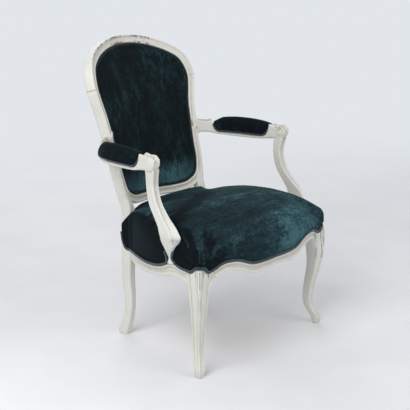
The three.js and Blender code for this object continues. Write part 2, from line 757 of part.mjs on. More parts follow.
function backJoints() {
  const lowerHeight = panelBottom - lowerRailHeight / 2;
  const inner = postEdge(lowerHeight);
  const lowerPoint = backPoint(inner, lowerHeight, frameThickness / 2);
  const lowerInside = backPoint(inner - frameFace, lowerHeight, frameThickness / 2);
  const lowerAhead = lowerPoint.clone().sub(lowerInside);
  const crestAcross = panelHalfWidth + frameFace / 2;
  const crestPoint = backPoint(crestAcross, shoulderHeight, frameThickness / 2);
  const crestAbove = backPoint(crestAcross, shoulderHeight + frameFace, frameThickness / 2);
  const crestAhead = crestAbove.sub(crestPoint);
  const armAhead = armPlace(1);
  const armBehind = armPlace(1 - armTenonLength / armRun);
  const armDirection = vector(armAhead.x - armBehind.x, armAhead.y - armBehind.y, 0);
  return {
    lowerRail: tenonAt(lowerPoint, lowerAhead, upwards, slipTenonHeight, tenonThickness),
    crest: tenonAt(crestPoint, crestAhead, crossways, tenonThickness, tenonThickness),
    arm: tenonAt(armJoint, armDirection, upwards, slipTenonHeight, tenonThickness, armTenonLength),
  };
}

const neckFootHeight = sideEdge(neckShare) + gap;
const postTop = postRingAt(1).reduce((sum, point) => sum.add(point), vector(0, 0, 0))
  .divideScalar(postRingAt(1).length);

// The arm support's tenon into the armrest, and its bore with the peg through the lap
const armSupportTenon = () => (
  tenonAt(postTop.clone().setZ(armUnderside), upwards, backwards, slipTenonHeight, tenonThickness)
);

function roundBar(centre, radius, length, sides = 16) {
  const rod = new THREE.CylinderGeometry(radius, radius, length, sides);
  rod.rotateZ(Math.PI / 2);
  rod.translate(centre.x, centre.y, centre.z);
  return rod;
}

const pegCentre = vector(
  neckOuter - pegCover - pegLength / 2,
  postNeckSetback,
  (neckFootHeight + railTop) / 2,
);
const pegBore = () => roundBar(pegCentre, pegRadius + gap, pegLength + 2 * gap);

// Wooden pieces, right-hand side
function backStileLeg() {
  const seat = seatJoints();
  const back = backJoints();
  const sockets = [seat.sideRear.socket, seat.rearRail.socket, back.lowerRail.socket, back.arm.socket];
  return join(cut(stileBlank(), sockets), [back.crest.tenon]);
}

function frontLeg() {
  const seat = seatJoints();
  return cut(frontLegBlank(), [seat.frontRail.socket, seat.sideFrontJoint.socket]);
}

function frontSeatRail() {
  const bare = mainBody(cut(frontRailBlank(), bothSides(frontLegBlank(gap))));
  return join(bare, bothSides(seatJoints().frontRail.tenon));
}

function sideSeatRail() {
  const seat = seatJoints();
  const bare = mainBody(cut(sideRailBlank(), [frontLegBlank(gap), pegBore()]));
  return join(bare, [seat.sideFrontJoint.tenon, seat.sideRear.tenon]);
}

const rearRailLine = seatDepth + stileDepth * 0.64;
function rearRailBlank(grow = 0) {
  const half = stileOuterHalf - stileWidth - gap;
  const thick = rearRailThickness / 2 + grow;
  return loft(steps(10, -1, 1).map((share) => {
    const under = railTop - rearRailHeight + rearRailArch * (1 - share ** 2) - grow;
    const top = railTop + grow;
    return [[-thick, under], [thick, under], [thick, top], [-thick, top]]
      .map(([y, z]) => vector(half * share, rearRailLine + y, z));
  }));
}

const rearSeatRail = () => join(rearRailBlank(), bothSides(seatJoints().rearRail.tenon));

function crestRail() {
  const start = crestStart + (2 * gap) / panelLength;
  const rings = steps(24, start, 1 - start).map((part) => (
    mouldedSection(crestFace(part), frameThickness).map(([out, depth]) => beside(part, out, depth))
  ));
  return cut(loft(rings), bothSides(backJoints().crest.socket));
}

function lowerBackRail() {
  const rings = steps(18, -lowerRailReach, lowerRailReach).map((part) => (
    mouldedSection(lowerRailHeight, frameThickness).map(([out, depth]) => beside(part, out, depth))
  ));
  const bare = mainBody(cut(loft(rings), bothSides(stileBlank(gap))));
  return join(bare, bothSides(backJoints().lowerRail.tenon));
}

function armSupport() {
  const tenon = armSupportTenon();
  const bare = mainBody(cut(postBlank(), [sideRailBlank(gap), armBlank(gap), pegBore()]));
  return join(bare, [tenon.tenon]);
}

function armrest() {
  const eye = armPlace(scrollEyeSetback / armRun);
  const disc = roundBar(
    vector(eye.x, eye.y, (eye.top + eye.under) / 2),
    scrollEyeRadius,
    2 * (eye.half + scrollEyeProud),
    20,
  );
  const bare = mainBody(cut(armBlank(), [stileBlank(gap)]));
  const whole = join(bare, [disc, backJoints().arm.tenon]);
  return cut(whole, [armSupportTenon().socket]);
}

// Blocks glued into the seat frame's corners
function frontCornerBlock() {
  const middle = railTop - blockDrop - blockHeight / 2;
  const offset = blockReach / 2;
  const centre = vector(legPostX - offset, legPostSetback + offset, middle);
  const block = bar(centre, vector(1, 1, 0), 2 * blockReach, upwards, blockHeight, blockThickness);
  const rails = [sideRailBlank(gap), ...bothSides(frontRailBlank(2 * gap))];
  return mainBody(cut(block, [frontLegBlank(gap), ...rails]));
}

function rearCornerBlock() {
  const corner = stileOuterHalf - stileWidth;
  const middle = railTop - blockDrop - blockHeight / 2;
  const centre = vector(corner - blockReach / 4, seatDepth - blockReach / 4, middle);
  const block = bar(centre, vector(1, -1, 0), 2 * blockReach, upwards, blockHeight, blockThickness);
  return mainBody(cut(block, [stileBlank(gap), sideRailBlank(gap), rearRailBlank(gap)]));
}

// Seat upholstery. Its outline runs once round the chair, with the velvet's lower edge, the
// bulge of its flank and the height of its shoulder at each place
const baseHeight = railTop + 2 * webbingThickness + canvasThickness + 4 * gap;
const shoulderShares = [
  [-0.085, 0.24], [-0.03, 0.06], [0.02, 0], [0.11, 0.18], [0.25, 0.5], [0.45, 0.82], [0.7, 0.96],
  [0.84, 0.94], [0.93, 0.6], [0.985, 0.15], [1.08, -0.55], [1.1, -0.42],
];
const stileWrapShares = [[0.44, 0.03], [0.66, 0.37], [0.82, 0.83], [0.93, 1.66]];
const rearRimShares = [[0.84, 0], [0.4, 0.9], [0, 1]];
const rearCrownShare = 0.12;
const cornerStationShares = [0.35, 0.7];
const fullSwellShare = 1;
const noSwellShare = 0;

function seatStation(line, edge, swell, cover = 0, rearShare = 0) {
  const waveShare = smoothTable(shoulderShares)(line.point.y / seatDepth) + rearCrownShare * rearShare;
  return { ...line, edge, swell, cover, shoulder: seatShoulder + seatShoulderRise * waveShare };
}

function rightSeatStations() {
  const front = steps(frontSteps).map((share) => (
    seatStation(frontLine(share), frontEdge(share), fullSwellShare)
  ));
  const cornerHump = kneeHeight + weltHeight / 2 - (frontEdge(1) + sideEdge(0)) / 2;
  const corner = cornerStationShares.map((share) => {
    const level = frontEdge(1) + (sideEdge(0) - frontEdge(1)) * share;
    return seatStation(cornerLine(share), level + 4 * cornerHump * share * (1 - share), fullSwellShare);
  });
  const side = sideShares.map((share) => {
    const cover = velvetThickness * smoothStep(share, 0.86, 1);
    return seatStation(sideLine(share), sideEdge(share), 1 - 0.8 * smoothStep(share, 0.7, 1), cover);
  });
  const wrapped = stileOuterHalf + velvetThickness;
  const wrap = stileWrapShares.map(([depthShare, riseShare]) => seatStation(
    { point: vector(wrapped, seatDepth + stileDepth * depthShare, 0), outward: crossways },
    sideEdge(1) + sideEdgeWave * riseShare,
    noSwellShare,
  ));
  return [...front, ...corner, ...side, ...wrap];
}

const rearSeatStations = () => rearRimShares.map(([share, rearShare]) => seatStation(
  { point: vector(stileOuterHalf * share, seatRear, 0), outward: backwards },
  baseHeight - rearTuck,
  noSwellShare,
  0,
  rearShare,
));

// The stations from the front's middle to the rear's, and back along the left-hand side
function wholeSeatStations() {
  const right = [...rightSeatStations(), ...rearSeatStations()];
  const left = right.slice(1, -1).reverse().map((station) => ({ ...station, ...mirrorLine(station) }));
  return [...right, ...left];
}

// Seat flank as [distance out in shares of the bulge, height in shares of the flank]
const flankShares = [[0.6, 0.2], [1, 0.5], [0.72, 0.82]];
const crownShares = [0.86, 0.62, 0.34];
const crownMiddleShare = 0.53;
const crownPower = 2.5;

function seatCushion() {
  const stations = wholeSeatStations();
  const ring = (pick) => stations.map((station) => {
    const [out, height] = pick(station);
    return shifted(station, out, height);
  });
  const lip = gap - rebateDepth;
  const rim = ring(({ shoulder }) => [-seatRoll, shoulder + seatRoll * 0.25]);
  const middle = vector(0, seatDepth * crownMiddleShare, seatCrown);
  const crown = crownShares.map((share) => rim.map((point) => {
    const rise = 1 - share ** crownPower;
    const place = middle.clone().lerp(point, share);
    return place.setZ(point.z + (seatCrown - point.z) * rise);
  }));
  const rings = [
    ring(() => [lip, baseHeight]),
    ring(({ edge }) => [lip, edge + gap]),
    ring(({ edge }) => [0, edge + gap]),
    ring(({ edge }) => [0, edge + gap + weltHeight]),
    ...flankShares.map(([outShare, riseShare]) => ring(({ edge, shoulder, swell, cover }) => [
      seatBulge * outShare * swell + cover,
      edge + gap + weltHeight + (shoulder - edge - gap - weltHeight) * riseShare,
    ])),
    ring(({ shoulder, cover }) => [cover - seatRoll * 0.3, shoulder]),
    rim,
    ...crown,
  ];
  const whole = loft(rings, { startPoint: middle.clone().setZ(baseHeight), endPoint: middle });
  const besidePost = postBlank(padClearance, [neckFoot, -0.03, 0, 0.07, 0.15, 0.2, 0.26, 0.34, 0.466]);
  const besideStile = stileBlank(gap, [0.33, 0.42, 0.49, 0.52, 0.55, 0.6]);
  return mainBody(cut(whole, [besideStile, besidePost, frontLegBlank(gap)].flatMap(bothSides)));
}

function seatWelts() {
  const out = weltThickness / 2 + gap;
  const placed = (station) => ({
    point: shifted(station, out, station.edge + gap + weltHeight / 2),
    outward: station.outward,
  });
  const right = rightSeatStations();
  const neckReach = (postDepth / 4) / (seatDepth - sideFront);
  const neckFront = sideLine(neckShare - neckReach).point.y;
  const neckRear = sideLine(neckShare + neckReach).point.y;
  const ahead = right.filter(({ point }) => point.y < neckFront);
  const behind = right.filter(({ point }) => point.y > neckRear && point.x > stileOuterHalf);
  const mirroredAhead = ahead.slice(1).reverse().map((station) => ({ ...station, ...mirrorLine(station) }));
  const front = [...mirroredAhead, ...ahead];
  const sides = 6;
  return {
    front: cord(front.map(placed), weltHeight, weltThickness, sides, false),
    side: cord(behind.map(placed), weltHeight, weltThickness, sides, false),
  };
}

// Webbing and canvas under the seat
function seatWebbing() {
  const lower = railTop + gap + webbingThickness / 2;
  const upper = lower + webbingThickness + gap;
  const inset = railThickness * 0.75;
  const lengthwise = [-1.5, -0.5, 0.5, 1.5].map((place) => {
    const x = webbingPitch * place;
    const front = frontLine(x / railReach).point.y + inset;
    const rear = rearRailLine + rearRailThickness / 4;
    const middle = vector(x, (front + rear) / 2, lower);
    return bar(middle, backwards, rear - front, crossways, webbingWidth, webbingThickness);
  });
  const crosswise = steps(3).map((share) => {
    const y = crossStart + (crossEnd - crossStart) * share;
    const near = sideLine((y + webbingWidth / 2 - sideFront) / (seatDepth - sideFront)).point.x;
    const far = sideLine((y - webbingWidth / 2 - sideFront) / (seatDepth - sideFront)).point.x;
    const length = 2 * (Math.min(near, far) - inset);
    return bar(vector(0, y, upper), crossways, length, backwards, webbingWidth, webbingThickness);
  });
  return { lengthwise, crosswise };
}

function seatCanvas() {
  const bottom = baseHeight - gap - canvasThickness;
  const margin = railThickness * 0.9;
  const between = stileOuterHalf - stileWidth - rearTuck;
  const right = [
    ...[0.15, 0.4, 0.65, 0.88].map(frontLine),
    ...[0.06, 0.3, 0.5, 0.7, 0.9].map(sideLine),
  ].map((line) => shifted(line, -margin, 0));
  const outline = [
    ...right,
    vector(between, seatDepth - rearTuck, 0),
    vector(between, rearRailLine, 0),
  ];
  const whole = [...outline, ...outline.slice().reverse().map(({ x, y }) => vector(-x, y, 0))];
  return loft([bottom, bottom + canvasThickness].map((z) => whole.map((point) => point.clone().setZ(z))));
}

// Back upholstery
const loopStations = (count) => steps(count).slice(0, count);
function panelBody(rows, middles) {
  const parts = loopStations(46);
  const rings = rows.map(([outwards, depth, share]) => parts.map((part) => (
    share === undefined ? beside(part, outwards, depth) : withinPanel(part, share, depth)
  )));
  const [startPoint, endPoint] = middles.map((depth) => backPoint(0, panelMiddle, depth));
  return loft(rings, { startPoint, endPoint });
}

const strapDepth = rebateFront - gap - webbingThickness;
function backCushion() {
  const rear = strapDepth - gap;
  const ledge = weltThickness + gap;
  const margin = padClearance + weltHeight + 3 * gap;
  return panelBody([
    [0, rear - padEase, 0.4], [0, rear - padEase, 0.75], [-padClearance, rear],
    [-padClearance, ledge], [-margin, ledge], [-margin, 0], [0, -backPadCrown * 0.34, 0.9],
    [0, -backPadCrown * 0.66, 0.76], [0, -backPadCrown * 0.86, 0.56],
    [0, -backPadCrown * 0.96, 0.32],
  ], [rear - padEase, -backPadCrown]);
}

function backOuterPanel() {
  const front = frameThickness - rebateRear + gap;
  const margin = padClearance + weltHeight + 3 * gap;
  const ledge = front + rearPanelThickness / 2;
  const rear = frameThickness;
  const rim = 3 * padClearance;
  return panelBody([
    [0, front + padEase, 0.4], [0, front + padEase, 0.75], [-rim, front], [-rim, ledge],
    [-margin, ledge], [-margin, rear], [0, rear + rearPanelCrown * 0.5, 0.86],
    [0, rear + rearPanelCrown * 0.9, 0.5],
  ], [front + padEase, rear + rearPanelCrown]);
}

function backWelt(depth, thickness, front) {
  const middle = -padClearance - gap - weltHeight / 2;
  const stations = loopStations(46).map((part) => {
    const point = beside(part, middle, depth);
    return { point, outward: beside(part, middle, depth + front).sub(point).normalize() };
  });
  return cord(stations, weltHeight, thickness, 6, true);
}

// Straps across the back, tacked on the tongues of the frame
function backWebbing() {
  return steps(3, 0.18, 0.66).map((share) => {
    const height = panelBottom + panelHeight * share;
    const half = postEdge(height - webbingWidth / 2) - 2 * gap;
    const rings = steps(12, -half, half).map((across) => (
      [[-0.5, 0], [0.5, 0], [0.5, 1], [-0.5, 1]].map(([rise, deep]) => (
        backPoint(across, height + webbingWidth * rise, strapDepth + webbingThickness * deep)
      ))
    ));
    return loft(rings);
  });
}

// Arm upholstery
const padShares = { from: 0.258, to: 0.87 };
const padEndShares = { wide: 0.35, high: 0.45 };
const padStationShares = [0.006, 0.03, 0.08, 0.16, 0.28, 0.42, 0.58, 0.72, 0.84, 0.92, 0.97, 0.994];
function padStation(share) {
  const place = padShares.from + (padShares.to - padShares.from) * share;
  const here = armPlace(place);
  const step = 0.01;
  const ahead = armPlace(place + step);
  const along = vector(ahead.x - here.x, ahead.y - here.y, 0).normalize();
  const end = Math.sqrt(1 - Math.abs(2 * share - 1) ** 5);
  const { wide, high } = padEndShares;
  return {
    foot: vector(here.x, here.y, here.top + gap),
    side: vector(along.y, -along.x, 0),
    wide: (armPadWidth / 2) * (wide + (1 - wide) * end),
    high: armPadHeight * (high + (1 - high) * end),
  };
}

// Section of the arm pad: across in shares of its half width, up in shares of its height
const armPadSection = [
  [-0.8, 0], [0.8, 0], [0.8, 0.12], [0.95, 0.2], [1, 0.42], [0.93, 0.68], [0.72, 0.88], [0.38, 0.98],
  [0, 1], [-0.38, 0.98], [-0.72, 0.88], [-0.93, 0.68], [-1, 0.42], [-0.95, 0.2], [-0.8, 0.12],
];

function armPad() {
  const rings = padStationShares.map((share) => {
    const { foot, side, wide, high } = padStation(share);
    return armPadSection.map(([across, rise]) => (
      foot.clone().addScaledVector(side, wide * across).addScaledVector(upwards, high * rise)
    ));
  });
  return loft(rings);
}

function piece(name, geometry, colour, roughness) {
  const mesh = new THREE.Mesh(
    geometry,
    new THREE.MeshStandardMaterial({ color: colour, roughness, metalness: 0 }),
  );
  mesh.name = name;
  return mesh;
}

function armWelt() {
  const out = armWeltRadius + 3 * gap;
  const inShare = armPadSection[1][0];
  const station = (share, hand) => {
    const { foot, side, wide } = padStation(share);
    const point = foot.clone().addScaledVector(side, hand * (wide * inShare + out));
    return { point: point.setZ(foot.z + armWeltRadius), outward: side.clone().multiplyScalar(hand) };
  };
  const endStation = (share, ahead, hand) => {
    const { foot, side, wide } = padStation(share);
    const along = vector(-side.y, side.x, 0).multiplyScalar(ahead);
    const point = foot.clone().addScaledVector(side, hand * wide * inShare).addScaledVector(along, out);
    return { point: point.setZ(foot.z + armWeltRadius), outward: along };
  };
  const first = padStationShares[0];
  const last = padStationShares.at(-1);
  return cord([
    endStation(first, -1, -1),
    endStation(first, -1, 1),
    ...padStationShares.map((share) => station(share, 1)),
    endStation(last, 1, 1),
    endStation(last, 1, -1),
    ...padStationShares.slice().reverse().map((share) => station(share, -1)),
  ], 2 * armWeltRadius, 2 * armWeltRadius, 6, true);
}

const chair = new THREE.Group();
chair.name = 'fauteuil';

function place(names, geometries, colour, roughness) {
  names.forEach((name, i) => chair.add(piece(name, geometries[i], colour, roughness)));
}

const rightThenLeft = (name) => [`${name}_right`, `${name}_left`];
const numbered = (name, pieces) => pieces.map((_, i) => `${name}_${i + 1}`);

const paintRoughness = 0.55;
place(rightThenLeft('back_stile_leg'), bothSides(backStileLeg()), paintColour, paintRoughness);
place(rightThenLeft('front_leg'), bothSides(frontLeg()), paintColour, paintRoughness);
place(['front_seat_rail'], [frontSeatRail()], paintColour, paintRoughness);
place(rightThenLeft('side_seat_rail'), bothSides(sideSeatRail()), paintColour, paintRoughness);
place(['rear_seat_rail'], [rearSeatRail()], paintColour, paintRoughness);
place(['crest_rail'], [crestRail()], paintColour, paintRoughness);
place(['lower_back_rail'], [lowerBackRail()], paintColour, paintRoughness);
place(rightThenLeft('arm_support'), bothSides(armSupport()), paintColour, paintRoughness);
place(rightThenLeft('armrest'), bothSides(armrest()), paintColour, paintRoughness);

const bareRoughness = 0.75;
place(rightThenLeft('front_corner_block'), bothSides(frontCornerBlock()), beechColour, bareRoughness);
place(rightThenLeft('rear_corner_block'), bothSides(rearCornerBlock()), beechColour, bareRoughness);
const pegs = bothSides(roundBar(pegCentre, pegRadius, pegLength, 12));
place(rightThenLeft('arm_support_peg'), pegs, beechColour, bareRoughness);

const clothRoughness = 0.9;
const welts = seatWelts();
const backWeltThickness = weltThickness - 2 * gap;
place(['seat_cushion'], [seatCushion()], velvetColour, clothRoughness);
place(['back_cushion'], [backCushion()], velvetColour, clothRoughness);
place(['back_outer_panel'], [backOuterPanel()], velvetColour, clothRoughness);
place(rightThenLeft('arm_pad'), bothSides(armPad()), velvetColour, clothRoughness);
place(rightThenLeft('arm_pad_welt'), bothSides(armWelt()), gimpColour, clothRoughness);
place(['seat_welt_front'], [welts.front], gimpColour, clothRoughness);
place(rightThenLeft('seat_welt'), bothSides(welts.side), gimpColour, clothRoughness);
place(['back_welt_front'], [backWelt(weltThickness / 2, backWeltThickness, -1)], gimpColour, clothRoughness);
place(['back_welt_rear'], [backWelt(frameThickness, backWeltThickness, 1)], gimpColour, clothRoughness);
const { lengthwise, crosswise } = seatWebbing();
place(numbered('seat_web_long', lengthwise), lengthwise, webColour, clothRoughness);
place(numbered('seat_web_cross', crosswise), crosswise, webColour, clothRoughness);
place(['seat_canvas'], [seatCanvas()], canvasColour, clothRoughness);
const backWebs = backWebbing();
place(numbered('back_web', backWebs), backWebs, webColour, clothRoughness);

const bounds = new THREE.Box3().setFromObject(chair);
chair.position.y = -(bounds.min.y + bounds.max.y) / 2;

export default chair;
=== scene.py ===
# %% [markdown]
# # An open armchair in worn paint and velvet
# The imported model is the fixed frame of this scene. It is loaded first, and its whole box is kept.
# Sizes in the cells below are in millimetres, as a chair maker would write them, with Y = 0 at the
# ends of the front rail. One function turns them into the frame's metres.

# %% Load the frame
import math
import bpy
import numpy as np
from mathutils.kdtree import KDTree
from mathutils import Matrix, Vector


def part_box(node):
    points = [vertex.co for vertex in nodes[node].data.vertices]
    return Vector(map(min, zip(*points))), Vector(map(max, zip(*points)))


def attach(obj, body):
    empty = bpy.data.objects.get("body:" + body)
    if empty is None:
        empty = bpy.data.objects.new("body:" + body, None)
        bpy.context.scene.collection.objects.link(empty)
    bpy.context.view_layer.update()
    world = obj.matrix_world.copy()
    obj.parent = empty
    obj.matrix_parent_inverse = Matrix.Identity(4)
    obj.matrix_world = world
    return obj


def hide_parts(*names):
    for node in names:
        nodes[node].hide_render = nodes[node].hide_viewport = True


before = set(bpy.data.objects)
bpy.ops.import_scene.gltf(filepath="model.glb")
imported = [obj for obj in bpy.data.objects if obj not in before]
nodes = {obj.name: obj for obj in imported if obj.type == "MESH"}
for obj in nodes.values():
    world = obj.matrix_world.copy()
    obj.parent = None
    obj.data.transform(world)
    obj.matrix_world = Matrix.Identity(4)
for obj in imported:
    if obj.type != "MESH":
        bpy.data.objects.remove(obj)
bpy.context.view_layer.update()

REAR_RAIL_LINE = 417.96
rear_low, rear_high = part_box("rear_seat_rail")
SETBACK = REAR_RAIL_LINE - 500 * (rear_low.y + rear_high.y)


def in_metres(points):
    """Chair maker's millimetres to the frame's metres: Y moves forward by the setback, then all / 1000."""
    return (np.asarray(points, float) - (0, SETBACK, 0)) * 0.001


print("frame nodes", len(nodes), "setback", round(SETBACK, 2))

# %% [markdown]
# ## Camera
# The chair stands turned, with its left front leg nearest. The camera is a long lens a little
# over three metres away, slightly above the arms and tipped down. Distance, turn and tip were
# solved from the mirror halves of the chair, so straight lines meet where they should.

# %% Camera
CAMERA_TURN = math.radians(49.411)
CAMERA_REACH = 3.3405
CAMERA_HEIGHT = 1.2894
CAMERA_SHIFT_BACK = 0.01324
AIM_TURN = math.radians(49.814)
AIM_TIP = math.radians(14.691)

camera_data = bpy.data.cameras.new("camera")
camera_data.sensor_width = 36
camera_data.lens = 96.45
camera = bpy.data.objects.new("camera", camera_data)
camera.location = (
    -math.sin(CAMERA_TURN) * CAMERA_REACH,
    -math.cos(CAMERA_TURN) * CAMERA_REACH - CAMERA_SHIFT_BACK,
    CAMERA_HEIGHT,
)
camera.rotation_euler = (math.pi / 2 - AIM_TIP, 0, -AIM_TURN)
bpy.context.scene.collection.objects.link(camera)
bpy.context.scene.camera = camera
print("camera at", [round(v, 3) for v in camera.location])

# %% [markdown]
# ## Nodes in a few words
# A material is a small network. One helper adds a node, sets its plain settings and fills its
# inputs, either with a value or with a wire from another node, so each network below reads
# like a recipe.

# %% Node helper
def add(tree, kind, inputs=None, **settings):
    """Adds one node: settings are its own choices, inputs are values or wires for its sockets."""
    node = tree.nodes.new(kind)
    for key, value in settings.items():
        setattr(node, key, value)
    for key, value in (inputs or {}).items():
        if isinstance(value, bpy.types.NodeSocket):
            tree.links.new(value, node.inputs[key])
        else:
            node.inputs[key].default_value = value
    return node


def noise(tree, vector, scale, detail=3.0, roughness=0.5, distortion=0.0):
    """A cloud of soft spots, about 1 / scale metres apart, from 0 to 1."""
    inputs = {
        "Vector": vector, "Scale": scale, "Detail": detail, "Roughness": roughness, "Distortion": distortion,
    }
    return add(tree, "ShaderNodeTexNoise", inputs).outputs["Fac"]


def ramp(tree, value, low, high, to_low=0.0, to_high=1.0):
    """Stretches low..high to to_low..to_high with soft ends, and holds the ends outside."""
    inputs = {"Value": value, 1: low, 2: high, 3: to_low, 4: to_high}
    return add(tree, "ShaderNodeMapRange", inputs, interpolation_type="SMOOTHSTEP").outputs[0]


def math_node(tree, operation, a, b=0.0):
    """One sum of two values or wires, such as SINE or MAXIMUM."""
    return add(tree, "ShaderNodeMath", {0: a, 1: b}, operation=operation).outputs[0]


def plus(tree, a, b):
    """a + b."""
    return math_node(tree, "ADD", a, b)


def minus(tree, a, b):
    """a - b."""
    return math_node(tree, "SUBTRACT", a, b)


def times(tree, a, b):
    """a x b."""
    return math_node(tree, "MULTIPLY", a, b)


def band(tree, value, low, full, fall, gone):
    """1 between full and fall, softening to 0 at low and at gone."""
    return minus(tree, ramp(tree, value, low, full), ramp(tree, value, fall, gone))


def blend_colour(tree, amount, a, b):
    """Colour a where amount is 0 and b where it is 1."""
    return add(tree, "ShaderNodeMix", {0: amount, 6: a, 7: b}, data_type="RGBA").outputs[2]


def stretched(tree, vector, scale):
    """The same place read through a stretched ruler, which stretches a pattern."""
    return add(tree, "ShaderNodeMapping", {"Vector": vector, "Scale": scale}).outputs["Vector"]


def srgb(red, green, blue):
    """A colour as seen on a screen, 0 to 255, as the linear light that a shader takes."""
    share = np.array([red, green, blue]) / 255
    linear = np.where(share <= 0.04045, share / 12.92, ((share + 0.055) / 1.055) ** 2.4)
    return (*linear.tolist(), 1.0)


FINISH_OUTPUTS = (
    ("Colour", "NodeSocketColor"), ("Roughness", "NodeSocketFloat"), ("Height", "NodeSocketFloat"),
)


def node_group(name, inputs):
    """An empty shader group: its inputs are (name, default), and its outputs are what every finish gives."""
    tree = bpy.data.node_groups.new(name, "ShaderNodeTree")
    for label, default in inputs:
        kind = "NodeSocketColor" if isinstance(default, tuple) else "NodeSocketFloat"
        socket = tree.interface.new_socket(label, in_out="INPUT", socket_type=kind)
        socket.default_value = default
    for label, kind in FINISH_OUTPUTS:
        tree.interface.new_socket(label, in_out="OUTPUT", socket_type=kind)
    return tree, tree.nodes.new("NodeGroupInput").outputs, tree.nodes.new("NodeGroupOutput").inputs


def finish_material(name, group, values, bump_distance, bump_strength, **constants):
    """A material whose colour, roughness and relief come from a group, with plain numbers on the shader."""
    material = bpy.data.materials.new(name)
    material.use_nodes = True
    tree = material.node_tree
    shader = tree.nodes["Principled BSDF"]
    body = add(tree, "ShaderNodeGroup", node_tree=group)
    for key, value in values.items():
        body.inputs[key].default_value = value
    tree.links.new(body.outputs["Colour"], shader.inputs["Base Color"])
    tree.links.new(body.outputs["Roughness"], shader.inputs["Roughness"])
    relief = {"Height": body.outputs["Height"], "Distance": bump_distance, "Strength": bump_strength}
    tree.links.new(add(tree, "ShaderNodeBump", relief).outputs["Normal"], shader.inputs["Normal"])
    for key, value in constants.items():
        shader.inputs[key.replace("_", " ")].default_value = value
    return material


def link(tree, wires, outputs):
    """Joins a group's results to its named outputs."""
    for label, wire in wires.items():
        tree.links.new(wire, outputs[label])


print("node helpers ready")

# %% [markdown]
# ## Floor and light
# A plain pale floor keeps the chair's shadow, and a large soft lamp high on the left does most
# of the work, as a window would. Two weaker lamps open the shadows. The floor looks pale to the
# camera because of its own colour, not because more light falls on the chair.

# %% Floor and lamps
FLOOR_HALF = 30.0
floor_mesh = bpy.data.meshes.new("floor")
floor_corners = [(x * FLOOR_HALF, y * FLOOR_HALF, 0) for x, y in ((-1, -1), (1, -1), (1, 1), (-1, 1))]
floor_mesh.from_pydata(floor_corners, [], [(0, 1, 2, 3)])
floor = bpy.data.objects.new("floor", floor_mesh)
bpy.context.scene.collection.objects.link(floor)

floor_group, given, results = node_group("pale_floor", ())
place = add(floor_group, "ShaderNodeTexCoord").outputs["Object"]
tone = ramp(floor_group, noise(floor_group, place, 3.0), 0.3, 0.7)
floor_colour = blend_colour(floor_group, tone, srgb(226, 226, 228), srgb(232, 232, 233))
link(floor_group, {
    "Colour": floor_colour,
    "Roughness": ramp(floor_group, tone, 0.0, 1.0, 0.75, 0.85),
    "Height": noise(floor_group, place, 180.0),
}, results)
floor_paint = finish_material("pale_floor", floor_group, {}, 0.0004, 0.3)
floor.data.materials.append(floor_paint)
floor_tree = floor_paint.node_tree
spot = add(floor_tree, "ShaderNodeTexCoord").outputs["Object"]
away = add(floor_tree, "ShaderNodeVectorMath", {0: spot}, operation="LENGTH").outputs["Value"]
FADE_FROM, FADE_TO = 1.3, 3.6
fade = ramp(floor_tree, away, FADE_FROM, FADE_TO, 1.0, 0.0)
floor_tree.links.new(fade, floor_tree.nodes["Principled BSDF"].inputs["Alpha"])


def soft_lamp(name, place, aim, size, watts):
    """A square lamp that looks at a point of the chair."""
    data = bpy.data.lights.new(name, "AREA")
    data.size = size
    data.energy = watts
    lamp = bpy.data.objects.new(name, data)
    lamp.location = place
    away = np.subtract(place, aim)
    lamp.rotation_euler = (
        math.atan2(math.hypot(away[0], away[1]), away[2]), 0, math.atan2(away[0], -away[1]),
    )
    bpy.context.scene.collection.objects.link(lamp)


CHAIR_MIDDLE = (0, 0, 0.45)
soft_lamp("window_lamp", (-2.6, -0.6, 2.6), CHAIR_MIDDLE, 2.2, 78)
soft_lamp("front_lamp", (0.4, -3.4, 1.9), CHAIR_MIDDLE, 2.4, 34)
soft_lamp("rear_lamp", (1.8, 2.6, 2.4), CHAIR_MIDDLE, 2.4, 30)

world = bpy.data.worlds.new("soft_room")
bpy.context.scene.world = world
world.use_nodes = True
sky = world.node_tree
path = add(sky, "ShaderNodeLightPath").outputs
seen = math_node(sky, "MAXIMUM", path["Is Camera Ray"], path["Is Glossy Ray"])
seen = math_node(sky, "MAXIMUM", seen, path["Is Transmission Ray"])
room = add(sky, "ShaderNodeBackground", {"Color": (0.86, 0.89, 0.93, 1), "Strength": 0.55})
wall = add(sky, "ShaderNodeBackground", {"Color": srgb(226, 230, 235), "Strength": 1.0})
mixed = add(sky, "ShaderNodeMixShader", {0: seen, 1: room.outputs[0], 2: wall.outputs[0]})
sky.links.new(mixed.outputs[0], sky.nodes["World Output"].inputs["Surface"])
bpy.context.scene.view_settings.view_transform = "Standard"
print("floor, three lamps and a pale room")
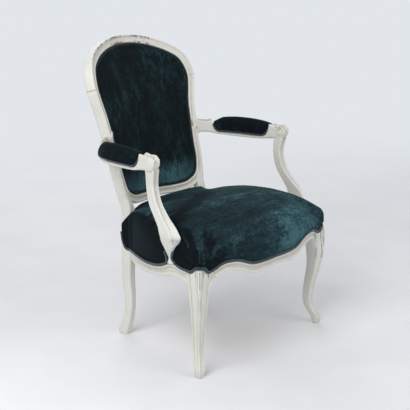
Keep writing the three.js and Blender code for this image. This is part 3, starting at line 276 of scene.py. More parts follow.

# %% [markdown]
# ## Worn paint
# The frame was painted off-white long ago. The hollows of the mouldings are darkened with painted
# shade, and hands and feet have rubbed the paint off the sharp edges, down to dark wood, most of all
# on the crest, the scrolls and the knees. Each carved piece below carries two values at every point,
# `arris` on sharp edges and `hollow` in the coves. The paint reads them, weighs them by zone,
# breaks them up with noise, and adds the brush marks' faint relief.

# %% Worn paint
paint_group, given, results = node_group("worn_paint", (
    ("Paint", srgb(209, 208, 200)), ("Dirt_and_shade", srgb(182, 176, 163)), ("Wood", srgb(92, 76, 62)), ("Wear", 0.5),
))
place = add(paint_group, "ShaderNodeTexCoord").outputs["Object"]
arris = add(paint_group, "ShaderNodeAttribute", attribute_name="arris").outputs["Fac"]
hollow = add(paint_group, "ShaderNodeAttribute", attribute_name="hollow").outputs["Fac"]
patches = noise(paint_group, place, 9.0, 4.0)
specks = noise(paint_group, stretched(paint_group, place, (1.0, 1.0, 0.55)), 130.0, 4.0, 0.65)
brush = noise(paint_group, stretched(paint_group, place, (1.0, 1.0, 0.12)), 420.0, 3.0, 0.6)
clouds = ramp(paint_group, patches, 0.3, 0.7)
base = blend_colour(paint_group, times(paint_group, clouds, 0.35), given["Paint"], srgb(222, 222, 218))
# Painted shade: the coves are pulled towards the darker colour, broken up by specks
hollow_shade = times(paint_group, hollow, ramp(paint_group, specks, 0.2, 0.75, 0.45, 1.0))
base = blend_colour(paint_group, hollow_shade, base, given["Dirt_and_shade"])
streaks = ramp(paint_group, brush, 0.35, 0.75, 0.0, 0.18)
base = blend_colour(paint_group, streaks, base, given["Dirt_and_shade"])
# The zones that are rubbed most, in metres: above the arms' joints, at the scrolls, at the knees
spot = add(paint_group, "ShaderNodeSeparateXYZ", {0: place}).outputs
level, sideways = spot["Z"], math_node(paint_group, "ABSOLUTE", spot["X"])
crest_zone = ramp(paint_group, level, 0.84, 0.9, 0.25, 1.0)
hand_zone = band(paint_group, level, 0.57, 0.6, 0.632, 0.65)
near_front = ramp(paint_group, spot["Y"], -0.25, -0.2, 1.0, 0.0)
corner_zone = times(paint_group, ramp(paint_group, sideways, 0.21, 0.25), near_front)
knee_zone = times(paint_group, band(paint_group, level, 0.18, 0.26, 0.33, 0.37), corner_zone)
zone = plus(paint_group, crest_zone, plus(paint_group, hand_zone, knee_zone))
touched = times(paint_group, zone, ramp(paint_group, patches, 0.36, 0.6, 0.3, 1.0))
edges = math_node(paint_group, "MAXIMUM", arris, times(paint_group, hollow, 0.8))
worn_place = times(paint_group, edges, touched)
chance = times(paint_group, worn_place, given["Wear"])
RUB_LEVEL = 0.82
rubbed = minus(paint_group, plus(paint_group, specks, chance), RUB_LEVEL)
bare = ramp(paint_group, rubbed, 0.0, 0.1)
thin = ramp(paint_group, rubbed, -0.16, 0.04, 0.0, 0.35)
base = blend_colour(paint_group, times(paint_group, thin, edges), base, given["Dirt_and_shade"])
colour = blend_colour(paint_group, times(paint_group, bare, 0.75), base, given["Wood"])
height = minus(paint_group, times(paint_group, brush, 0.5), bare)
link(paint_group, {
    "Colour": colour,
    "Roughness": ramp(paint_group, bare, 0.0, 1.0, 0.5, 0.78),
    "Height": height,
}, results)
paint = finish_material("painted_frame", paint_group, {"Wear": 0.46}, 0.0004, 0.6, Specular_IOR_Level=0.4)
print("paint ready")

# %% [markdown]
# ## Velvet
# Cut pile is darkest where it is seen end on and pale where it is stroked flat. Real pile lies in
# brushed strokes, so a stretched noise lightens and darkens it in bands, sideways on the seat and
# up and down on the back. The seat and the back also carry a value `nap_and_light` at every point:
# above 0 the pile is paler, below 0 darker. On the seat it holds painted light, a painted highlight
# down the front and painted shade along the sides, besides the nap's dark trough across the top; on
# the back the pile is paler towards the foot. A sheen on the shader gives the bright rim along each turned
# edge.

# %% Velvet
velvet_group, given, results = node_group("velvet_pile", (
    ("Deep", srgb(9, 17, 20)), ("Brushed", srgb(62, 98, 106)), ("Across", 1.0), ("Upward", 1.0),
    ("Strokes", 0.3), ("Flecks", 0.3), ("Base", 0.05),
))
place = add(velvet_group, "ShaderNodeTexCoord").outputs["Object"]
nap_and_light = add(velvet_group, "ShaderNodeAttribute", attribute_name="nap_and_light").outputs["Fac"]
ruler = add(velvet_group, "ShaderNodeCombineXYZ", {"X": given["Across"], "Y": 1.0, "Z": given["Upward"]})
scaled = add(
    velvet_group, "ShaderNodeVectorMath", {0: place, 1: ruler.outputs[0]}, operation="MULTIPLY",
).outputs[0]
bands = ramp(velvet_group, noise(velvet_group, scaled, 9.0, 3.0, 0.55, 0.5), 0.38, 0.68)
strokes = noise(velvet_group, scaled, 52.0, 4.0, 0.62, 0.4)
flecks = noise(velvet_group, scaled, 260.0, 3.0, 0.65, 0.3)
pile = noise(velvet_group, place, 1500.0, 2.0, 0.7)
lie = times(velvet_group, ramp(velvet_group, strokes, 0.34, 0.74), given["Strokes"])
lie = times(velvet_group, lie, plus(velvet_group, bands, 0.35))
fleck = times(velvet_group, ramp(velvet_group, flecks, 0.45, 0.78), given["Flecks"])
fleck = times(velvet_group, fleck, plus(velvet_group, bands, 0.45))
brushed = plus(velvet_group, plus(velvet_group, lie, fleck), given["Base"])
# The attribute read above carries painted light: above 0 the pile is painted paler, below 0 darker
brushed = times(velvet_group, brushed, plus(velvet_group, nap_and_light, 1.0))
brushed = ramp(velvet_group, brushed, -0.2, 1.2, -0.2, 1.2)
colour = blend_colour(velvet_group, brushed, given["Deep"], given["Brushed"])
height = plus(velvet_group, times(velvet_group, strokes, 0.8), times(velvet_group, pile, 0.3))
link(velvet_group, {
    "Colour": colour,
    "Roughness": ramp(velvet_group, brushed, 0.0, 1.0, 0.95, 0.8),
    "Height": height,
}, results)


def velvet(name, across, upward, strokes, flecks, base):
    """Velvet whose strokes run along X where across is small, or up where upward is small."""
    values = {"Across": across, "Upward": upward, "Strokes": strokes, "Flecks": flecks, "Base": base}
    sheen = {"Sheen_Weight": 0.15, "Sheen_Roughness": 0.3, "Sheen_Tint": srgb(120, 168, 178)}
    return finish_material(name, velvet_group, values, 0.0009, 0.5, Specular_IOR_Level=0.1, **sheen)


seat_velvet = velvet("velvet_seat", 0.35, 0.45, 0.22, 0.32, 0.16)
back_velvet = velvet("velvet_back", 1.2, 0.4, 0.12, 0.16, 0.12)
pad_velvet = velvet("velvet_arm_pads", 1.0, 1.0, 0.14, 0.14, 0.07)
print("velvet ready")

# %% [markdown]
# ## Gimp, webbing, canvas and beech
# The flat cord that hides the tacks is two twisted strands side by side. Its pattern follows the
# cord, so it reads the piece's own UV map: U counts millimetres along it and V goes once round.
# The cord round the back is a darker copy of the others: painted shade.
# Webbing and canvas are plain weaves seen only from below, and the hidden rails are raw beech.

# %% Gimp
gimp_group, given, results = node_group("twisted_gimp", (
    ("Strand", srgb(50, 76, 82)), ("Gap", srgb(16, 27, 31)), ("Turns", 0.45),
))
own_map = add(gimp_group, "ShaderNodeUVMap", uv_map="cord").outputs["UV"]
parts = add(gimp_group, "ShaderNodeSeparateXYZ", {"Vector": own_map}).outputs
PLIES = 3.0
twist = plus(gimp_group, times(gimp_group, parts["X"], given["Turns"]), times(gimp_group, parts["Y"], PLIES))
wave = math_node(gimp_group, "SINE", times(gimp_group, twist, 2 * math.pi))
round_place = add(gimp_group, "ShaderNodeTexCoord").outputs["Object"]
fluff = noise(gimp_group, round_place, 900.0, 2.0)
fade = noise(gimp_group, round_place, 12.0, 2.0)
# Painted shade: the cord is painted dark in the gaps between its twisted yarns
strand = ramp(gimp_group, wave, -0.9, 0.5)
colour = blend_colour(gimp_group, strand, given["Gap"], given["Strand"])
colour = blend_colour(gimp_group, ramp(gimp_group, fade, 0.35, 0.7, 0.0, 0.4), colour, given["Gap"])
height = plus(gimp_group, strand, times(gimp_group, fluff, 0.3))
link(gimp_group, {
    "Colour": colour, "Roughness": ramp(gimp_group, strand, 0.0, 1.0, 0.95, 0.75), "Height": height,
}, results)
gimp = finish_material("gimp_cord", gimp_group, {}, 0.0007, 0.8, Sheen_Weight=0.3, Specular_IOR_Level=0.2)
# The cords round the back take darker strands and less sheen: painted shade
shaded_strands = {"Strand": srgb(27, 43, 48), "Gap": srgb(9, 15, 18)}
shaded_gimp = finish_material(
    "gimp_cord_back_shaded", gimp_group, shaded_strands, 0.0007, 0.8, Sheen_Weight=0.1, Specular_IOR_Level=0.1,
)

# %% Weave and beech
weave_group, given, results = node_group("plain_weave", (
    ("Thread", srgb(150, 130, 98)), ("Shadow", srgb(88, 74, 54)), ("Pitch", 420.0),
))
place = add(weave_group, "ShaderNodeTexCoord").outputs["Object"]
parts = add(weave_group, "ShaderNodeSeparateXYZ", {"Vector": place}).outputs
lengthways = plus(weave_group, parts["Y"], parts["Z"])
warp, weft = (
    math_node(weave_group, "SINE", times(weave_group, times(weave_group, way, given["Pitch"]), 2 * math.pi))
    for way in (parts["X"], lengthways)
)
crossing = ramp(weave_group, times(weave_group, warp, weft), -0.7, 0.7)
fray = noise(weave_group, place, 600.0, 3.0)
height = plus(weave_group, crossing, times(weave_group, fray, 0.4))
uneven = times(weave_group, crossing, ramp(weave_group, fray, 0.2, 0.8, 0.55, 1.0))
link(weave_group, {
    "Colour": blend_colour(weave_group, uneven, given["Shadow"], given["Thread"]),
    "Roughness": ramp(weave_group, fray, 0.0, 1.0, 0.85, 1.0),
    "Height": height,
}, results)
webbing = finish_material("jute_webbing", weave_group, {"Pitch": 330.0}, 0.0005, 0.8)
canvas_colours = {"Thread": srgb(189, 176, 146), "Shadow": srgb(128, 116, 92), "Pitch": 620.0}
canvas = finish_material("canvas", weave_group, canvas_colours, 0.0003, 0.7)

beech_group, given, results = node_group("raw_beech", (
    ("Pale", srgb(196, 160, 116)), ("Dark", srgb(150, 112, 74)),
))
place = add(beech_group, "ShaderNodeTexCoord").outputs["Object"]
rings = noise(beech_group, stretched(beech_group, place, (0.12, 1.0, 1.0)), 55.0, 4.0, 0.6, 1.2)
pores = noise(beech_group, stretched(beech_group, place, (0.08, 1.0, 1.0)), 900.0, 2.0)
flecks = ramp(beech_group, pores, 0.6, 0.72)
grain = blend_colour(beech_group, ramp(beech_group, rings, 0.3, 0.7), given["Pale"], given["Dark"])
link(beech_group, {
    "Colour": blend_colour(beech_group, times(beech_group, flecks, 0.5), grain, given["Dark"]),
    "Roughness": ramp(beech_group, rings, 0.0, 1.0, 0.6, 0.8),
    "Height": minus(beech_group, rings, flecks),
}, results)
beech = finish_material("bare_beech", beech_group, {}, 0.0003, 0.6)
print("gimp, webbing, canvas and beech ready")

# %% [markdown]
# ## Surfaces from numbers
# Every wooden member is one profile carried along a path: a grid of points, ring after ring. The
# helpers below read a smooth curve through a short table, turn a ring of a few key points into a
# close one, and put a finished grid into a mesh. `relief` looks at how sharply the grid bends at
# each point, which is what the paint needs to know.

# %% Curves and rings
def smooth_table(rows):
    """A cubic through rows of [place, value...]; its slope at a row is the slope between that row's
    neighbours."""
    rows = np.array(rows, float)
    places, values = rows[:, 0], rows[:, 1:]
    last = len(rows) - 1

    def read(place):
        place = np.clip(np.asarray(place, float), places[0], places[-1])
        row = np.clip(np.searchsorted(places, place) - 1, 0, last - 1)
        before, after = np.maximum(row - 1, 0), np.minimum(row + 2, last)
        span = (places[row + 1] - places[row])[..., None]
        part = (place - places[row])[..., None] / span
        leave = (values[row + 1] - values[before]) / (places[row + 1] - places[before])[..., None] * span
        arrive = (values[after] - values[row]) / (places[after] - places[row])[..., None] * span
        square, cube = part ** 2, part ** 3
        curve = (
            (2 * cube - 3 * square + 1) * values[row] + (cube - 2 * square + part) * leave
            + (3 * square - 2 * cube) * values[row + 1] + (cube - square) * arrive
        )
        return curve[..., 0] if values.shape[1] == 1 else np.moveaxis(curve, -1, 0)

    return read


def smooth_step(value, low, high):
    """0 below low, 1 above high, and 3t^2 - 2t^3 between them."""
    part = np.clip((np.asarray(value, float) - low) / (high - low), 0, 1)
    return part * part * (3 - 2 * part)


def bump(distance, half):
    """A soft ridge: 1 on its line, e^-(distance / half)^2 beside it."""
    return np.exp(-(distance / half) ** 2)


def run_along(points):
    """How far each point lies from the first one, measured along the path."""
    return np.concatenate([[0], np.cumsum(np.linalg.norm(np.diff(points, axis=0), axis=1))])


def walk(run, path_run, path):
    """The points of a path that lie at the given distances along it."""
    return np.stack([np.interp(run, path_run, column) for column in path.T], -1)


def unit(vectors):
    """Each vector divided by its own length."""
    return vectors / np.maximum(np.linalg.norm(vectors, axis=-1, keepdims=True), 1e-12)


def fine(rings, per=5, sharp=()):
    """Adds points between a ring's key points on a centripetal spline; a sharp key point keeps its corner."""
    ahead, behind = np.roll(rings, -1, 1), np.roll(rings, 1, 1)
    onward = np.sqrt(np.linalg.norm(ahead - rings, axis=-1, keepdims=True)) + 1e-9
    inward = np.roll(onward, 1, 1)
    slope = (rings - behind) / inward - (ahead - behind) / (inward + onward) + (ahead - rings) / onward
    leave, arrive = slope * onward, np.roll(slope, -1, 1) * onward
    keen = np.isin(np.arange(rings.shape[1]), sharp)
    leave[:, keen] = (ahead - rings)[:, keen]
    keen_next = np.roll(keen, -1)
    arrive[:, keen_next] = (ahead - rings)[:, keen_next]
    part = (np.arange(per) / per)[None, None, :, None]
    start, end = rings[:, :, None], ahead[:, :, None]
    square, cube = part ** 2, part ** 3
    points = (
        (2 * cube - 3 * square + 1) * start + (cube - 2 * square + part) * leave[:, :, None]
        + (3 * square - 2 * cube) * end + (cube - square) * arrive[:, :, None]
    )
    return points.reshape(len(rings), -1, 3)


def grid_faces(rows, columns, closed):
    """Four corners for each cell of a grid whose columns wrap round, and its rows too if it is closed."""
    row = np.arange(rows if closed else rows - 1)[:, None]
    column = np.arange(columns)[None, :]
    here, over = row * columns, ((row + 1) % rows) * columns
    side = (column + 1) % columns
    return np.stack([here + column, over + column, over + side, here + side], -1).reshape(-1, 4)


def relief(rings):
    """How sharply a grid bends out (arris) and in (hollow): the gap to the mean of the points on both
    sides, along the normal, times 2 over the distance squared, is one over the radius in millimetres."""
    before, after = np.roll(rings, 2, 1), np.roll(rings, -2, 1)
    along_after, along_before = np.roll(rings, -1, 0), np.roll(rings, 1, 0)
    along_after[-1], along_before[0] = rings[-1], rings[0]
    normal = unit(np.cross(along_after - along_before, after - before))
    spread = (np.sum((after - rings) ** 2, -1) + np.sum((before - rings) ** 2, -1)) / 2 + 1e-6
    bend = -2 * np.sum(((before + after) / 2 - rings) * normal, -1) / spread
    bend *= np.sign(np.sum(bend)) or 1
    return smooth_step(bend, 0.10, 0.32), smooth_step(-bend, 0.015, 0.10)


def grid_mesh(name, rings, closed=False):
    """Quads between rings and one flat face at each open end. If the volume inside comes out negative,
    every face is turned round."""
    points = rings.reshape(-1, 3)
    rows, columns = rings.shape[:2]
    quads = grid_faces(rows, columns, closed)
    a, b, c, d = (points[quads[:, k]] for k in range(4))
    volume = np.sum(a * (np.cross(b, c) + np.cross(c, d)))
    faces = quads[:, ::-1] if volume < 0 else quads
    polygons = faces.tolist()
    if not closed:
        first, last = list(range(columns)), list(range(len(points) - columns, len(points)))
        polygons += [first[::-1], last] if volume < 0 else [first, last[::-1]]
    mesh = bpy.data.meshes.new(name)
    mesh.from_pydata(in_metres(points).tolist(), [], polygons)
    mesh.polygons.foreach_set("use_smooth", [True] * len(quads) + [False] * (len(polygons) - len(quads)))
    return mesh


def store(mesh, label, values):
    """Keeps one number for every point of a mesh under a label that a material can read."""
    numbers = values.ravel().astype(np.float32)
    mesh.attributes.new(label, "FLOAT", "POINT").data.foreach_set("value", numbers)


def skin(name, rings, material, node, closed=False, uv=None):
    """A finished piece over a grid of rings in place of a CAD node, with the paint's two masks on it or,
    where one is given, a cord's own map."""
    mesh = grid_mesh(name, rings, closed)
    if uv is None:
        for label, values in zip(("arris", "hollow"), relief(rings)):
            store(mesh, label, values)
    else:
        loops = np.zeros(len(mesh.loops), np.int32)
        mesh.loops.foreach_get("vertex_index", loops)
        corners = uv.reshape(-1, 2)[loops].ravel().astype(np.float32)
        mesh.uv_layers.new(name="cord").data.foreach_set("uv", corners)
    mesh.update()
    piece = bpy.data.objects.new(name, mesh)
    bpy.context.scene.collection.objects.link(piece)
    piece.data.materials.append(material)
    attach(piece, "root")
    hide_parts(node)


def carved(name, rings, node):
    """A skin in worn paint."""
    skin(name, rings, paint, node)


SIDES = (("right", np.array([1, 1, 1])), ("left", np.array([-1, 1, 1])))


def mirror(points):
    """The same points on the other side of the chair."""
    return points * (-1, 1, 1)


def both_sides(name, rings):
    """A right-hand carved piece and its mirror, each in place of the CAD node of its own name."""
    for side, turn in SIDES:
        carved(f"{name}_{side}_wood", rings * turn, f"{name}_{side}")


print("surface helpers ready")

# %% [markdown]
# ## The dished back
# The back leans, curves away towards the top and is dished from side to side. It is one surface,
# read at a width, a height and a depth behind its face. Frame, pad, cord and rear panel all use
# it, so they stay true to each other. The sight edge, where wood meets velvet, is one smooth loop.

# %% Back surface and sight edge
SEAT_DEPTH, BACK_SETBACK = 393.0, 49.0
PANEL_BOTTOM, PANEL_HEIGHT, PANEL_HALF = 444.0, 456.0, 207.0
LEAN = math.tan(math.radians(15.86))
BACK_SWEEP, DISH_RADIUS = 13.0, 417.0


def back_point(across, height, depth):
    """Face = lean x rise + sweep x rise share squared - across squared / (2 x dish radius), moved back
    by depth along the surface's own normal."""
    across, height, depth = (np.asarray(v, float) for v in np.broadcast_arrays(across, height, depth))
    rise = (height - PANEL_BOTTOM) / PANEL_HEIGHT
    slope = LEAN + 2 * BACK_SWEEP * rise / PANEL_HEIGHT
    face = SEAT_DEPTH + BACK_SETBACK + (height - PANEL_BOTTOM) * LEAN + BACK_SWEEP * rise ** 2
    face = face - across ** 2 / (2 * DISH_RADIUS)
    normal = unit(np.stack([across / DISH_RADIUS, np.ones_like(face), -slope], -1))
    return np.stack([across, face, height], -1) + normal * depth[..., None]


SIGHT_SHARES = np.array([
    [0, 0], [0.34, -0.007], [0.60, 0.005], [0.77, 0.055], [0.835, 0.15], [0.855, 0.28], [0.885, 0.42],
    [0.92, 0.56], [0.97, 0.66], [1, 0.735], [0.985, 0.80], [0.92, 0.868], [0.78, 0.915], [0.57, 0.957],
    [0.28, 0.99], [0, 1],
])
half_loop = SIGHT_SHARES * (PANEL_HALF, PANEL_HEIGHT) + (0, PANEL_BOTTOM)
sight_keys = np.concatenate([half_loop, half_loop[-2:0:-1] * (-1, 1)])
sight_ring = np.stack([sight_keys[:, 0], np.zeros(len(sight_keys)), sight_keys[:, 1]], -1)[None]
sight_line = fine(sight_ring, per=80)[0][:, [0, 2]]
sight_closed = np.concatenate([sight_line, sight_line[:1]])
sight_run = run_along(sight_closed)
SIGHT_LENGTH = sight_run[-1]
SIGHT_STEP = 1.5


def sight_at(part):
    """Place and direction on the sight edge, a share of the way round from the bottom centre."""
    run = (np.asarray(part, float) % 1) * SIGHT_LENGTH
    place, ahead, behind = (
        walk(spot, sight_run, sight_closed)
        for spot in (run, (run + SIGHT_STEP) % SIGHT_LENGTH, (run - SIGHT_STEP) % SIGHT_LENGTH)
    )
    return place, unit(ahead - behind)


def beside(part, outwards, depth):
    """A point a distance outwards from the sight edge, measured on the dished surface."""
    place, along = sight_at(part)
    stretch = np.hypot(1, place[..., 0] / DISH_RADIUS)
    across = place[..., 0] + along[..., 1] * outwards / stretch
    return back_point(across, place[..., 1] - along[..., 0] * outwards, depth)


turn_parts = np.linspace(0.2, 0.45, 2001)
CREST_START = turn_parts[np.argmax(sight_at(turn_parts)[0][:, 0])]
SHOULDER_HEIGHT = sight_at(CREST_START)[0][1]
rise_parts = np.linspace(0, 0.25, 2001)
LOWER_REACH = rise_parts[np.argmax(sight_at(rise_parts)[0][:, 1] > PANEL_BOTTOM + PANEL_HEIGHT * 0.1)]
print("sight edge", round(SIGHT_LENGTH), "mm, shoulder at", round(float(SHOULDER_HEIGHT)))

# %% [markdown]
# ## Back posts, crest and lower rail
# Each back post runs from the rear foot to the shoulder in one piece. Its section starts as a
# rounded rectangle, and above the seat it turns into the back's moulding: a bead along the
# velvet, a hollow, and a second bead outside. Both sections have the same number of key points,
# so one is blended into the other with height. The crest and lower rail carry the moulding on.

# %% Sections of the back frame
BEAD, HOLLOW, REBATE_FRONT, REBATE_REAR, TONGUE = 6.0, 3.4, 9.0, 6.0, 10.0
FRAME_FACE, FRAME_THICKNESS, LOWER_RAIL_HEIGHT = 22.0, 34.0, 23.0
CORNER = 6.0
BEVEL = CORNER * (1 - math.sqrt(0.5))

# Each key point is [out, out per width, depth, depth per thickness]
MOULDED_KEYS = np.array([
    [0, 0, REBATE_FRONT, 0], [0, 0, BEAD / 2, 0], [0.15 * BEAD, 0, 0.12 * BEAD, 0], [0.5 * BEAD, 0, 0, 0],
    [0.85 * BEAD, 0, 0.14 * BEAD, 0], [BEAD, 0, 0.46 * BEAD, 0], [1.12 * BEAD, 0, 0.8 * HOLLOW, 0],
    [0.67 * BEAD, 0.2, HOLLOW, 0], [0, 0.5, 1.1 * HOLLOW, 0], [-0.67 * BEAD, 0.8, HOLLOW, 0],
    [-1.12 * BEAD, 1, 0.8 * HOLLOW, 0], [-BEAD, 1, 0.46 * BEAD, 0], [-0.85 * BEAD, 1, 0.14 * BEAD, 0],
    [-0.5 * BEAD, 1, 0, 0], [-0.15 * BEAD, 1, 0.14 * BEAD, 0], [0, 1, BEAD / 2, 0], [0, 1, 0, 0.7],
    [-0.5 * BEAD, 1, -0.25 * BEAD, 1], [-BEAD, 1, 0, 1], [0, 0, 0, 1], [0, 0, -REBATE_REAR, 1],
    [-TONGUE, 0, -REBATE_REAR, 1], [-TONGUE, 0, REBATE_FRONT, 0],
])
POST_KEYS = np.array([
    [0, 0, 1.6 * CORNER, 0], [0, 0, CORNER, 0], [BEVEL, 0, BEVEL, 0], [CORNER, 0, 0, 0],
    [0, 0.3, 0, 0], [0, 0.34, 0, 0], [0, 0.38, 0, 0], [0, 0.44, 0, 0], [0, 0.5, 0, 0], [0, 0.56, 0, 0],
    [0, 0.62, 0, 0], [0, 0.66, 0, 0], [0, 0.7, 0, 0], [-CORNER, 1, 0, 0], [-BEVEL, 1, BEVEL, 0],
    [0, 1, CORNER, 0], [0, 1, -CORNER, 1], [-BEVEL, 1, -BEVEL, 1], [-CORNER, 1, 0, 1], [CORNER, 0, 0, 1],
    [BEVEL, 0, -BEVEL, 1], [0, 0, -CORNER, 1], [0, 0, 0, 0.5],
])
MOULDED_SHARP = (0, 5, 6, 10, 11, 19, 20, 21, 22)


def section(keys, width, depth):
    """Key points in millimetres for each width and depth: [..., point, (out, deep)]."""
    width, depth = (np.asarray(v, float)[..., None] for v in np.broadcast_arrays(width, depth))
    return np.stack([keys[:, 0] + keys[:, 1] * width, keys[:, 2] + keys[:, 3] * depth], -1)


# %% Back posts with the rear legs
STILE_WIDTH, STILE_DEPTH, STILE_OUTER, REAR_KICK = 28.0, 39.0, 184.0, 20.0
RAIL_TOP = 345.0
STILE_BLEND_LOW, STILE_BLEND_HIGH = 385.0, 455.0
rear_leg_shape = smooth_table([
    [0, 0.88, 0.84, 1.05, 0.2], [0.035, 1.04, 1, 0.85, 0.3], [0.122, 0.95, 0.9, 0.45, 0.18],
    [0.2, 0.86, 0.8, 0.17, 0.08], [0.29, 0.84, 0.81, 0, 0.03], [0.38, 0.88, 0.86, 0.02, 0],
    [0.47, 0.93, 0.92, 0.15, 0], [0.58, 0.96, 0.95, 0.25, 0], [0.74, 1, 0.98, 0.15, 0],
    [0.84, 1, 1, 0.08, 0], [1, 1, 1, 0, 0], [1.5, 1, 1, 0, 0],
])
post_face_shape = smooth_table([
    [-0.13, 1.2], [-0.02, 1.16], [0.05, 1.08], [0.10, 1.0], [0.16, 0.9], [0.28, 0.89], [0.42, 0.91],
    [0.56, 0.93], [0.66, 0.95], [0.735, 0.98],
])
edge_parts = np.linspace(LOWER_REACH, CREST_START, 41)
edge_places = sight_at(edge_parts)[0]
post_edge = smooth_table([
    *[[PANEL_BOTTOM + PANEL_HEIGHT * rise, PANEL_HALF * share]
      for rise, share in ((-0.13, 0.75), (-0.02, 0.758), (0.05, 0.79))],
    *edge_places[:, ::-1].tolist(),
])


def post_rings(heights):
    """Right-hand post: leg section set by the kick table, blended into the moulded section of the back."""
    width_share, depth_share, back_share, out_share = rear_leg_shape(heights / RAIL_TOP)
    width = STILE_WIDTH * width_share
    leg = section(POST_KEYS, width, STILE_DEPTH * depth_share)
    outer, front = STILE_OUTER + REAR_KICK * out_share, SEAT_DEPTH + REAR_KICK * back_share
    level = np.broadcast_to(heights[:, None], leg.shape[:2])
    leg_ring = np.stack([(outer - width)[:, None] + leg[..., 0], front[:, None] + leg[..., 1], level], -1)
    inner = post_edge(heights)
    face = FRAME_FACE * post_face_shape((heights - PANEL_BOTTOM) / PANEL_HEIGHT)
    stretch = np.hypot(1, inner / DISH_RADIUS)
    plain, moulded = section(POST_KEYS, face, FRAME_THICKNESS), section(MOULDED_KEYS, face, FRAME_THICKNESS)
    strength = smooth_step(heights, STILE_BLEND_HIGH, STILE_BLEND_HIGH + FRAME_THICKNESS)[:, None, None]
    mixed = plain + (moulded - plain) * strength
    back_ring = back_point(inner[:, None] + mixed[..., 0] / stretch[:, None], level, mixed[..., 1])
    share = smooth_step(heights, STILE_BLEND_LOW, STILE_BLEND_HIGH)[:, None, None]
    return leg_ring + (back_ring - leg_ring) * share


post_heights = np.concatenate([np.linspace(0, 24, 9)[:-1], np.linspace(24, SHOULDER_HEIGHT, 200)])
both_sides("back_stile_leg", fine(post_rings(post_heights), 4, MOULDED_SHARP))

# %% Crest and lower rail
crest_face_shape = smooth_table([[0.26, 0.98], [0.31, 1.02], [0.36, 1.18], [0.42, 1.14], [0.5, 1.1]])
JOINT_SHARE = 0.04 / SIGHT_LENGTH


def rail_round(parts, faces):
    """The moulded section carried round a stretch of the sight edge."""
    keys = section(MOULDED_KEYS, faces, FRAME_THICKNESS)
    return beside(parts[:, None], keys[..., 0], keys[..., 1])


crest_parts = np.linspace(CREST_START + JOINT_SHARE, 1 - CREST_START - JOINT_SHARE, 241)
crest_faces = FRAME_FACE * crest_face_shape(np.minimum(crest_parts, 1 - crest_parts))
crest_rings = fine(rail_round(crest_parts, crest_faces), 4, MOULDED_SHARP)
carved("crest_wood", crest_rings, "crest_rail")

lower_parts = np.linspace(-LOWER_REACH * 0.97, LOWER_REACH * 0.97, 161)
lower_faces = np.full(len(lower_parts), LOWER_RAIL_HEIGHT)
carved("lower_back_wood", fine(rail_round(lower_parts, lower_faces), 4, MOULDED_SHARP), "lower_back_rail")
print("back frame: posts, crest and lower rail")

# %% [markdown]
# ## Seat rails
# In plan the front rail bows out and each side rail swells before it runs in to the back post.
# The upper edge, against the velvet, and the lower edge both wave, so each is a table along the
# rail. The face between them has a soft bead under the velvet, a shallow hollow and a fuller
# bead along the bottom.

# %% Plan lines of the seat
RAIL_REACH, FRONT_BOW = 270.0, 33.0
SIDE_FRONT, SIDE_FRONT_HALF, SIDE_BOW = 43.0, 306.0, 24.0
KNEE_CORNER = np.array([312.0, -6.0])


def plan(x, y, out_x, out_y):
    """A plan line as its points and the directions that face outwards."""
    return np.stack([x, y, np.zeros_like(x)], -1), unit(np.stack([out_x, out_y, np.zeros_like(x)], -1))


def front_line(share):
    """x = reach x share and y = -bow (1 - share squared)."""
    share = np.asarray(share, float)
    x, y = RAIL_REACH * share, -FRONT_BOW * (1 - share ** 2)
    return plan(x, y, 2 * FRONT_BOW * share, np.full_like(share, -RAIL_REACH))


def side_line(share):
    """A straight run in to the post, swelled by 4 x bow x share x (1 - share)."""
    share = np.asarray(share, float)
    length, lean = SEAT_DEPTH - SIDE_FRONT, STILE_OUTER - SIDE_FRONT_HALF
    x = SIDE_FRONT_HALF + lean * share + 4 * SIDE_BOW * share * (1 - share)
    tilt = (lean + 4 * SIDE_BOW * (1 - 2 * share)) * (1 - smooth_step(share, 0.9, 1))
    return plan(x, SIDE_FRONT + length * share, np.full_like(share, length), -tilt)


def corner_line(share):
    """A parabola from the front rail's end to the side rail's, drawn towards the knee's corner."""
    share = np.asarray(share, float)
    start, end = front_line(1.0)[0][:2], side_line(0.0)[0][:2]
    first, second = KNEE_CORNER - start, end - KNEE_CORNER
    place = start + 2 * share[..., None] * first + share[..., None] ** 2 * (second - first)
    along = first + share[..., None] * (second - first)
    return plan(place[..., 0], place[..., 1], along[..., 1], -along[..., 0])


def edge_table(height, wave, rows):
    """An edge's height along a rail: its level plus the wave times a smooth table."""
    table = smooth_table(rows)
    return lambda share: height + wave * table(share)


FRONT_LEVEL, FRONT_WAVE, FRONT_SHOW = 306.0, 27.0, 25.0
SIDE_LEVEL, SIDE_WAVE, SIDE_SHOW = 292.0, 32.0, 31.0
front_edge = edge_table(FRONT_LEVEL, FRONT_WAVE, [
    [0, 0], [0.2, -0.05], [0.4, 0.08], [0.6, 0.8], [0.75, 1], [0.85, 0.88], [0.93, 0.56], [1, 0.3],
])
front_under = edge_table(FRONT_LEVEL, -FRONT_SHOW, [
    [0, 0.96], [0.17, 1.06], [0.33, 1.2], [0.47, 0.8], [0.55, 0.4], [0.62, 0.15], [0.72, -0.12],
    [0.8, -0.12], [0.87, 0.1], [0.93, 0.55], [0.965, 1.15], [1, 1.9],
])
side_edge = edge_table(SIDE_LEVEL, SIDE_WAVE, [
    [0, 0.73], [0.1, 0.8], [0.17, 0.98], [0.235, 1], [0.28, 0.8], [0.36, 0.4], [0.435, 0.16],
    [0.52, 0], [0.61, -0.13], [0.72, -0.19], [0.845, -0.22], [1, -0.3],
])
side_under = edge_table(SIDE_LEVEL, -SIDE_SHOW, [
    [0, 0.65], [0.045, 0.28], [0.1, 0.08], [0.16, 0.07], [0.222, 0.17], [0.3, 0.38], [0.39, 0.64],
    [0.487, 0.86], [0.576, 0.98], [0.677, 1.1], [0.77, 1.16], [0.878, 1.2], [1, 1.15],
])

# %% Front and side rails
RAIL_BEAD, RAIL_THICKNESS, REBATE = 3.0, 30.0, 7.0
